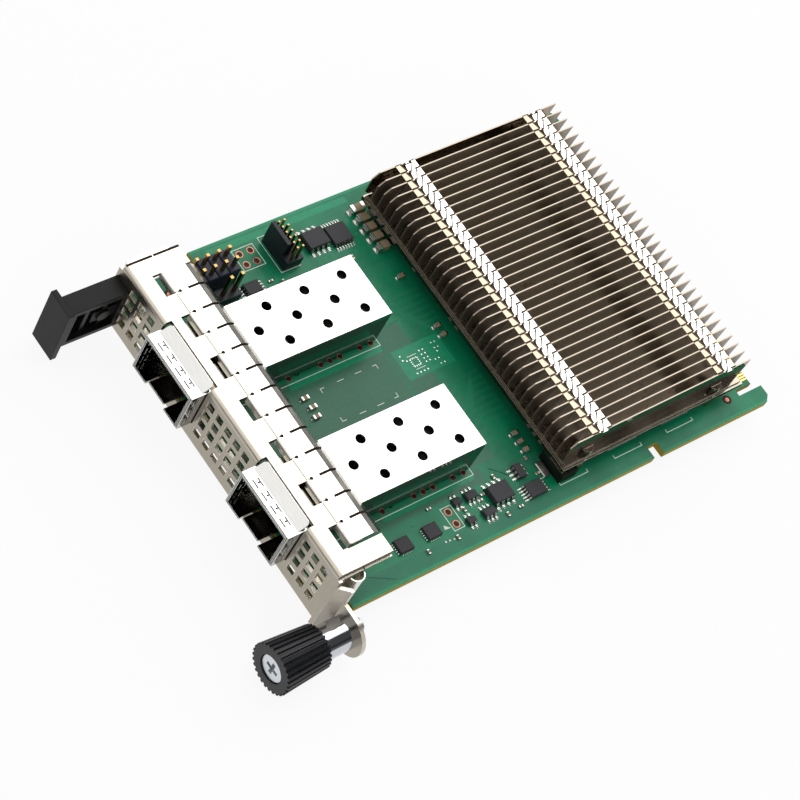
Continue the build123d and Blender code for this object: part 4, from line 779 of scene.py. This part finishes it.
@dataclass
class BoardArtwork:
    """Screen print, exposed pads, plated holes, traces and vias on the board's top."""

    ink_width: float = 0.16
    ink_height: float = 0.02
    outlines: Boxes = (
        (-33.3, -28.6, 15.4, 24.2), (-27.7, -24.9, 18.3, 24.3), (-34.9, -30.0, 28.8, 33.8), (28.6, 33.5, 33.5, 36.0),
        (-35.5, -27.0, 35.5, 40.1))
    label_place: Box = (-2.4, 5.2, 27.3, 40.8)
    corner_tick: float = 0.9
    side_tick: float = 0.8
    side_tick_shares: Point = (0.36, 0.68)
    strips: Points = ((-7.9, -5.6), (23.1, 25.3))
    strip_inset: float = 0.6
    strip_y: Point = (6.5, 44.3)
    sink_marks: Points = ((59.3, 66.4), (73.5, 80.7), (87.6, 94.6))
    sink_mark_x: Point = (33.9, 34.6)
    marks: tuple[Points, ...] = (((-1.2, 47.6), (-1.2, 49.9)), ((1.8, 47.8), (1.8, 50.1)))
    pointer: Points = ((31.6, 32.1), (32.5, 31.8), (32.6, 33.2))
    tiny_dots: Points = ((34.6, 30.5), (34.7, 31.4), (34.8, 32.4), (34.0, 41.3), (33.9, 44.6))
    tiny_dot: float = 0.2
    row_x: Point = (-6.8, 24.1)
    row_y: tuple[float, ...] = (22.9, 30.6, 32.8, 35.2, 40.1, 42.7)
    row_hole: Point = (0.66, 0.46)
    loose_holes: Points = (
        (-33.7, 30.0), (-33.7, 32.6), (-31.2, 32.5), (-31.2, 30.0), (29.7, 34.7), (32.4, 34.7))
    loose_hole: Point = (0.84, 0.58)
    fiducials: Points = ((34.0, 104.7), (-31.5, 12.0))
    pad_pairs: Points = (
        (-2.0, 54.3), (-0.8, 54.3), (1.4, 52.9), (2.6, 53.5), (-1.5, 50.9), (-0.6, 50.9), (0.3, 50.9), (1.1, 50.9))
    pad_step: float = 0.88
    lone_pads: Points = ((-1.9, 46.4), (-0.9, 46.4), (-0.5, 47.2), (0.0, 54.4))
    pad_line: tuple[float, float, int, float] = (2.6, 47.5, 4, 0.9)
    open_chip: Place = (0.3, 48.7, 0.84)
    open_chip_pitch: float = 0.45
    open_chip_pad: Point = (0.11, 0.16)
    line_height: float = 0.012
    runs: tuple[Bundle, ...] = (
        Bundle(8, 0.14, ((-19.05, 44.2, 1.45, 0), (-19.05, 46.0, 1.45, 0.9), (-13.55, 51.5, 1.45, 0.9),
                         (-13.55, 59.5, 1.45, 0)), (0.0, 0.32)),
        Bundle(8, 0.14, ((22.25, 44.2, -1.45, 0), (22.25, 46.0, -1.45, 0.9), (16.75, 51.5, -1.45, 0.9),
                         (16.75, 59.5, -1.45, 0)), (0.0, 0.32)),
        Bundle(9, 0.12, ((-36.6, 25.5, 0.3, 0), (-36.6, 27.4, 0.3, -0.2))),
        Bundle(7, 0.13, ((-23.0, 45.0, 0.36, 0.3), (-21.0, 47.0, 0.36, 0.3), (-21.0, 59.0, 0.36, 0))))
    raised_runs: tuple[Bundle, ...] = (
        Bundle(9, 0.12, ((33.85, 4.5, 0.33, 0), (33.85, 12.0, 0.33, 0.6), (34.35, 12.5, 0.33, 0.6),
                         (34.35, 44.0, 0.33, 0.4), (34.55, 44.2, 0.33, 0.4), (34.55, 62.0, 0.33, 0))),
        Bundle(9, 0.12, ((25.2, 47.6, 0.3, 0.3), (26.6, 49.0, 0.3, 0.3), (26.6, 59.0, 0.3, 0))))
    vias_each: int = 9
    via_fields: Boxes = (
        (26.5, 33.0, 9.0, 30.0), (26.5, 33.5, 47.0, 58.0), (-35.0, -23.0, 42.5, 57.0), (-27.0, -22.5, 29.0, 44.0),
        (-3.0, 7.0, 8.0, 21.0))
    seed: int = 7

    def screen_print(self) -> None:
        """Print the part outlines, corner marks and side marks."""
        t, s = self.corner_tick, self.side_tick
        x0, x1, y0, y1 = self.label_place
        left, right = self.sink_mark_x
        front, rear = self.strip_y
        paths: list[Points] = [[(low + self.strip_inset, rear), (high, rear), (high, front)]
                                        for low, high in self.strips]
        paths += [[(cx + dx, cy), (cx, cy), (cx, cy + dy)]
                  for cx, cy, dx, dy in ((x0, y0, t, t), (x1, y0, -t, t), (x1, y1, -t, -t), (x0, y1, t, -t))]
        middles = (y0 + (y1 - y0) * share for share in self.side_tick_shares)
        paths += [[(x, y - s), (x, y + s)] for y in middles for x in (x0, x1)]
        paths += [[(left, low), (right, low), (right, high), (left, high)] for low, high in self.sink_marks]
        ink = Shape()
        for a, b, c, d in self.outlines:
            ink.line([(a, c), (b, c), (b, d), (a, d)], self.ink_width, self.ink_height, closed=True)
        for path in paths + list(self.marks):
            ink.line(path, self.ink_width, self.ink_height)
        ink.prism(self.pointer, 0.0, self.ink_height)
        for spot in self.tiny_dots:
            ink.lathe(spot, [(self.tiny_dot, 0.0), (self.tiny_dot, self.ink_height)], 10)
        ink.piece("silkscreen_outlines", SILK, Slot.SOLDER_MASK)

    def holes(self) -> None:
        """Ring the plated holes with copper, lay dark discs in their bores as painted shade, and lay a dark disc round
        each fiducial.
        """
        rings, bores = Shape(), Shape()
        places = [((x, y), *self.row_hole) for x in self.row_x for y in self.row_y]
        for centre, outer, inner in places + [(spot, *self.loose_hole) for spot in self.loose_holes]:
            rings.lathe(centre, [(outer, 0.0), (outer - 0.05, 0.05), (inner + 0.06, 0.06), (inner, 0.03)], 24)
            # Painted shade: a dark disc down in each bore.
            bores.lathe(centre, [(inner + 0.01, 0.031), (inner * 0.6, 0.034)], 20)
        for centre in self.fiducials:
            rings.lathe(centre, [(0.5, 0.0), (0.48, 0.035)], 24)
            bores.lathe(centre, [(1.0, 0.0), (1.0, 0.012)], 28)
        rings.piece("plated_rings", COPPER, Slot.GOLD)
        bores.piece("plated_bores", HOLE, Slot.SOLDER_MASK)

    def pads(self) -> None:
        """Lay the open footprint between the cages and the heatsink."""
        pads = Shape()
        places = list(self.lone_pads) + [(x, y + step) for x, y in self.pad_pairs for step in (0.0, self.pad_step)]
        x, y, count, pitch = self.pad_line
        places += [(x, y + i * pitch) for i in range(count)]
        for place in places:
            pads.lathe(place, [(0.2, 0.0), (0.18, 0.04), (0.1, 0.06)], 10)
        x, y, reach = self.open_chip
        thin, deep = self.open_chip_pad
        for step in (i * self.open_chip_pitch for i in (-1.5, -0.5, 0.5, 1.5)):
            for cx, cy, wide, tall in ((x + step, y - reach, thin, deep), (x + step, y + reach, thin, deep),
                                       (x - reach, y + step, deep, thin), (x + reach, y + step, deep, thin)):
                pads.slab((cx - wide, cx + wide), (cy - tall, cy + tall), (0.0, 0.05), 0.02)
        pads.piece("open_footprint_pads", TIN, Slot.TIN)

    def traces(self) -> None:
        """Run trace pairs from the cages to the heatsink, bundles along the near edge, and stitching vias."""
        run, relief, vias = Shape(), Shape(), Shape()
        for shape, bundles in ((run, self.runs), (relief, self.raised_runs)):
            for bundle in bundles:
                bundle.lay(shape, self.line_height)
        chance = random.Random(self.seed)
        for x0, x1, y0, y1 in self.via_fields:
            for _ in range(self.vias_each):
                vias.lathe((chance.uniform(x0, x1), chance.uniform(y0, y1)),
                           [(0.3, 0.0), (0.27, 0.016), (0.13, 0.012)], 12)
        run.piece("board_traces", TRACE, Slot.SOLDER_MASK)
        relief.piece("board_edge_bundle", RELIEF, Slot.SOLDER_MASK)
        vias.piece("board_vias", TRACE, Slot.SOLDER_MASK)

    def build(self) -> None:
        """Build all artwork."""
        self.screen_print()
        self.holes()
        self.pads()
        self.traces()


@dataclass(frozen=True)
class Chip:
    """Place and size of one leaded chip."""

    centre: Point
    body: Point
    pitch: float = 0.95
    axis: Axis = Axis.X
    lead_reach: float = 0.62

    def leads(self) -> list[tuple[float, float, int]]:
        """Return each lead's toe and its outward direction.

        Returns:
            X and Y of the toe and 1 or -1 for the side.
        """
        x, y = self.centre
        wide, span = self.body if self.axis is Axis.X else self.body[::-1]
        count = int(span / self.pitch + 0.5)
        toes = []
        for side in (-1, 1):
            reach = side * (wide / 2 + self.lead_reach)
            for step in ((i - (count - 1) / 2) * self.pitch for i in range(count)):
                toes.append((x + reach, y + step, side) if self.axis is Axis.X else (x + step, y + reach, side))
        return toes


@dataclass
class SolderWork:
    """Solder fillets at the leads and capacitor ends. A joint is its width, length and height."""

    chips: tuple[Chip, ...] = (
        Chip((-30.5, 45.8), (3.9, 4.9), 1.27), Chip((-29.8, 51.3), (4.2, 4.6), 0.65),
        Chip((-26.1, 27.7), (2.6, 3.4), 0.65, Axis.Y), Chip((30.9, 46.3), (3.6, 4.6), 1.27),
        Chip((33.1, 53.6), (3.0, 4.0), 0.65, Axis.Y), Chip((28.7, 52.9), (2.9, 1.7), 0.95, Axis.Y),
        Chip((28.9, 40.7), (1.5, 2.6)), Chip((33.3, 41.9), (1.5, 2.6)),
        Chip((28.8, 37.3), (1.2, 1.9)), Chip((33.2, 37.6), (1.2, 1.9)))
    lead_joint: Place = (0.62, 0.5, 0.3)
    toe_reach: float = 0.55
    caps: Points = (
        (-16.8, 57.6), (-4.5, 57.6), (-2.4, 57.6), (21.6, 57.4), (23.5, 57.4), (25.4, 57.4), (-1.8, 23.1), (0.4, 23.4),
        (2.4, 22.9))
    cap_joint: Place = (0.8, 0.36, 0.5)
    cap_reach: float = 1.15
    squares: Points = ((31.7, 22.2), (31.7, 29.0))
    square_size: Point = (2.8, 3.2)
    square_joint: Place = (0.26, 0.3, 0.14)
    square_reach: float = 0.26
    bulk_x: tuple[float, ...] = (-33.2, -30.87, -28.54, -26.21, -23.88)
    bulk_y: float = 58.4
    bulk_joint: Place = (1.5, 0.6, 0.9)
    bulk_reach: float = 2.2
    profile: tuple[Place, ...] = ((0.0, 0.02, 0.8), (0.35, 0.16, 1.0), (0.75, 0.5, 1.0), (1.0, 1.0, 0.92))

    def wedge(self, shape: Shape, toe: Point, out: Point, width: float, length: float, height: float) -> None:
        """Add one fillet that rises towards its part.

        Args:
            shape: The shape to add it to.
            toe: X and Y of its outer end.
            out: Unit direction from the part to the toe.
            width: Width along the part's side.
            length: Length along the direction.
            height: Height at the part.
        """
        ax, ay = -out[1], out[0]
        points: list[Place] = []
        for share, rise, broad in self.profile:
            cx, cy = toe[0] - out[0] * length * share, toe[1] - out[1] * length * share
            half = width / 2 * broad
            points += [(cx + ax * half * part, cy + ay * half * part, height * rise * level)
                       for part, level in ((-1.0, 0.0), (-0.8, 1.0), (0.8, 1.0), (1.0, 0.0))]
        faces = [(4 * r + k, 4 * r + k + 1, 4 * r + 5 + k, 4 * r + 4 + k) for r in range(3) for k in range(3)]
        shape.add(points, [tuple(reversed(f)) for f in faces] + [(0, 1, 2, 3), (12, 15, 14, 13)])

    def build(self) -> None:
        """Build the fillets."""
        joints = Shape()
        for chip in self.chips:
            for x, y, side in chip.leads():
                out = (float(side), 0.0) if chip.axis is Axis.X else (0.0, float(side))
                toe = (x + out[0] * self.toe_reach, y + out[1] * self.toe_reach)
                self.wedge(joints, toe, out, chip.pitch * self.lead_joint[0], *self.lead_joint[1:])
        for x, y in self.caps:
            for side in (-1.0, 1.0):
                self.wedge(joints, (x, y + side * self.cap_reach), (0.0, side), *self.cap_joint)
        for x in self.bulk_x:
            self.wedge(joints, (x, self.bulk_y - self.bulk_reach), (0.0, -1.0), *self.bulk_joint)
        for x, y in self.squares:
            for step in (i * 0.5 for i in range(-2, 3)):
                for out in ((1.0, 0.0), (-1.0, 0.0), (0.0, 1.0), (0.0, -1.0)):
                    cx = x + out[0] * (self.square_size[0] / 2 + self.square_reach) + abs(out[1]) * step
                    cy = y + out[1] * (self.square_size[1] / 2 + self.square_reach) + abs(out[0]) * step
                    self.wedge(joints, (cx, cy), out, *self.square_joint)
        joints.piece("solder_fillets", TIN, Slot.TIN)


@dataclass
class FlangeShade:
    """Painted shade in the flange's gaps: dark strips under the finger slots, dark discs at the slit ends, and dark
    strips along the far fold line.
    """

    pitch: float = 4.76
    slots: int = 12
    half_width: float = 0.4
    run: Points = ((8.45, 11.46), (10.9, 11.44), (12.3, 10.8), (13.35, 10.0))
    sheet: float = 0.12
    dot_y: float = 6.85
    dot_radius: float = 0.3
    dot_z: Point = (11.5, 11.68)
    fold: Box = (-34.98, -34.5, 0.5, 12.3)
    fold_z: Point = (11.45, 11.53)
    fold_gap: float = 0.15

    def build(self) -> None:
        """Build the dark strips and discs of painted shade."""
        # Dark pieces put where the flange only has shade.
        gaps = Shape()
        for i in range(self.slots):
            x = (i - (self.slots - 1) / 2) * self.pitch
            for ends in zip(self.run, self.run[1:]):
                points = [(x + s * self.half_width, y, z - drop) for y, z in ends
                          for drop in (0.0, self.sheet) for s in (-1, 1)]
                gaps.add(points, [(0, 1, 5, 4), (2, 6, 7, 3), (0, 4, 6, 2), (1, 3, 7, 5)])
            gaps.lathe((x, self.dot_y), [(self.dot_radius, z) for z in self.dot_z], 14)
        x0, x1, y0, y1 = self.fold
        middle = (y0 + y1) / 2
        for span in ((y0, middle - self.fold_gap), (middle + self.fold_gap, y1)):
            gaps.slab((x0, x1), span, self.fold_z)
        gaps.piece("flange_gap_shade", SHADE, Slot.BLACK_PLASTIC)


@dataclass
class HeaderShunts:
    """Shunts pushed over the pins of the front header, which leave the pin tips bare."""

    span_x: Point = (-33.45, -28.45)
    first_y: float = 15.99
    pitch: float = 2.54
    count: int = 4
    depth: float = 2.4
    rise: Point = (2.5, 5.5)
    chamfer: float = 0.18

    def build(self) -> None:
        """Build the shunts."""
        blocks = Shape()
        for y in (self.first_y + i * self.pitch for i in range(self.count)):
            blocks.slab(self.span_x, (y - self.depth / 2, y + self.depth / 2), self.rise, self.chamfer)
        blocks.piece("header_shunts", SHUNT, Slot.BLACK_PLASTIC)


@dataclass
class TinyParts:
    """Very small resistors and capacitors, each a ceramic body between two tinned ends."""

    places: tuple[tuple[float, float, int], ...] = (
        (30.6, 56.3, 0), (26.9, 56.1, 1), (30.65, 37.9, 1), (30.45, 42.0, 0), (29.6, 43.2, 0), (-26.2, 32.2, 0),
        (-25.1, 34.6, 1), (-24.4, 47.2, 0), (-24.4, 48.8, 0), (-24.3, 51.0, 1), (34.9, 33.2, 1), (35.2, 45.4, 1),
        (34.9, 48.8, 0), (27.4, 47.5, 1), (27.6, 31.4, 0), (34.9, 26.0, 1))
    length: float = 1.0
    width: float = 0.52
    height: float = 0.42
    body_share: float = 0.48
    body_inset: float = 0.02
    chamfer: float = 0.05

    def build(self) -> None:
        """Build the bodies and ends."""
        bodies, ends = Shape(), Shape()
        inner = self.body_share / 2
        for x, y, turned in self.places:
            for low, high, shape, inset in ((-inner, inner, bodies, self.body_inset), (-0.5, -inner, ends, 0.0),
                                            (inner, 0.5, ends, 0.0)):
                long = (low * self.length, high * self.length)
                wide = (inset - self.width / 2, self.width / 2 - inset)
                across, down = (long, wide) if turned else (wide, long)
                shape.slab((x + across[0], x + across[1]), (y + down[0], y + down[1]), (0.0, self.height - inset),
                           self.chamfer)
        bodies.piece("tiny_part_bodies", CERAMIC, Slot.CERAMIC)
        ends.piece("tiny_part_ends", TIN, Slot.TIN)


@dataclass
class SeatSpring:
    """Seat spring in place of the stiff node, a copy of its mesh."""

    node: str = "thumb_spring"
    joint: str = "thumb_slide"
    travel: float = 4.5 * MM

    def build(self) -> None:
        """Copy the spring's mesh in place of the hidden node and let it ride on the root body."""
        low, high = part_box(self.node)
        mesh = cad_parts[self.node].data.copy()
        mesh.materials.clear()
        mesh.materials.append(NODE_FINISHES[self.node].material())
        made = placed("thumb_spring_coil", mesh)
        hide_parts(self.node)
        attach(made, "root")
        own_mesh(made)
        LOG.info("%s: %d faces", made.name, len(mesh.polygons))


@dataclass
class Studio:
    """Camera, lamps, world and floor."""

    azimuth: float = 26.454
    elevation: float = 51.364
    roll: float = 33.136
    target: Place = (5.986, 40.62, 0.0)
    distance: float = 546.75
    lens: float = 131.98
    sensor: float = 36.0
    clip: Point = (0.01, 50.0)
    softboxes: tuple[tuple[str, Place, float, float, float], ...] = (
        ("key", (-0.278, 0.559, 0.781), 0.7, 1.1, 1.55), ("fill", (0.75, -0.5, 0.45), 0.8, 0.6, 0.5))
    room: float = 0.6
    horizon: Point = (-0.02, 0.42)
    horizon_blur: Point = (0.03, 0.08)
    horizon_tone: float = 0.2
    shaded: Point = (0.0, 0.16)
    shaded_tone: float = 0.08
    floor_reach: float = 4.0

    def camera(self) -> None:
        """Set the camera at the photograph's angle."""
        a, e, r = (math.radians(v) for v in (self.azimuth, self.elevation, self.roll))
        back = Vector((math.sin(a) * math.cos(e), -math.cos(a) * math.cos(e), math.sin(e)))
        right = Vector((math.cos(a), math.sin(a), 0.0))
        up = back.cross(right)
        across = math.cos(r) * right + math.sin(r) * up
        upward = -math.sin(r) * right + math.cos(r) * up
        place = (Vector(self.target) + back * self.distance) * MM
        data = bpy.data.cameras.new("camera")
        data.lens, data.sensor_width = self.lens, self.sensor
        data.clip_start, data.clip_end = self.clip
        made = placed("camera", data)
        made.matrix_world = Matrix([(across[k], upward[k], back[k], place[k]) for k in range(3)] + [(0, 0, 0, 1)])
        bpy.context.scene.camera = made

    def softbox(self, name: str, direction: Place, away: float, solid: float, radiance: float) -> None:
        """Add a square soft lamp that faces the card.

        Args:
            name: Name of the lamp.
            direction: Direction from the card to the lamp.
            away: Distance, m.
            solid: Share of the view that it fills, steradians.
            radiance: Brightness of its face.
        """
        line = Vector(direction).normalized()
        area = solid * away * away
        data = bpy.data.lights.new(name, "AREA")
        data.shape, data.size = "SQUARE", math.sqrt(area)
        data.energy = radiance * math.pi * area
        made = placed(name, data)
        made.location = Vector(self.target) * MM + line * away
        made.rotation_euler = line.to_track_quat("Z", "Y").to_euler()

    def world(self) -> None:
        """Make a white room that lights softly, dark at the horizon and on the near side in reflections."""
        made = bpy.data.worlds.new("room")
        bpy.context.scene.world = made
        paint = Paint(made)
        seen, glossy = paint.rays()
        across, _, rise = paint.along(paint.node("ShaderNodeTexCoord", out="Generated"))
        low, high = self.horizon
        foot, top = self.horizon_blur
        band = rise.fade(low - foot, low + foot) * rise.fade(high + top, high - top)
        dark = across.fade(*self.shaded) * rise.fade(low, high)
        strength = (self.room + seen * (1.0 - self.room)) * (1 - band * glossy * (1 - self.horizon_tone))
        strength = strength * (1 - dark * glossy * (1 - self.shaded_tone))
        paint.finish(paint.node("ShaderNodeBackground", None, {"Color": WHITE, "Strength": strength}))

    def floor(self) -> None:
        """Lay the floor under the card."""
        mesh = bpy.data.meshes.new("floor")
        reach, level = self.floor_reach, CAD_BOUNDS[0][2]
        corners = [(x * reach, y * reach, level) for x, y in ((-1, -1), (1, -1), (1, 1), (-1, 1))]
        mesh.from_pydata(corners, [], [(0, 1, 2, 3)])
        mesh.materials.append(Backdrop().material())
        made = placed("floor", mesh)

    def build(self) -> None:
        """Build the studio."""
        self.camera()
        for softbox in self.softboxes:
            self.softbox(*softbox)
        self.world()
        self.floor()
        bpy.context.scene.view_settings.view_transform = "Standard"
        LOG.info("studio: camera, lamps, world and floor")


def dress_nodes() -> None:
    """Give every CAD node its finish."""
    for name, finish in NODE_FINISHES.items():
        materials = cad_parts[name].data.materials
        materials.clear()
        materials.append(finish.material())
    missing = sorted(set(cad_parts) - set(NODE_FINISHES))
    LOG.info("nodes dressed: %d, left: %s", len(NODE_FINISHES), missing)


def main() -> None:
    """Build the card's looks in order."""
    logging.basicConfig(level=logging.INFO)
    dress_nodes()
    for part in (BoardArtwork, SolderWork, FlangeShade, HeaderShunts, TinyParts, SeatSpring, Studio):
        part().build()


if __name__ == "__main__":
    main()
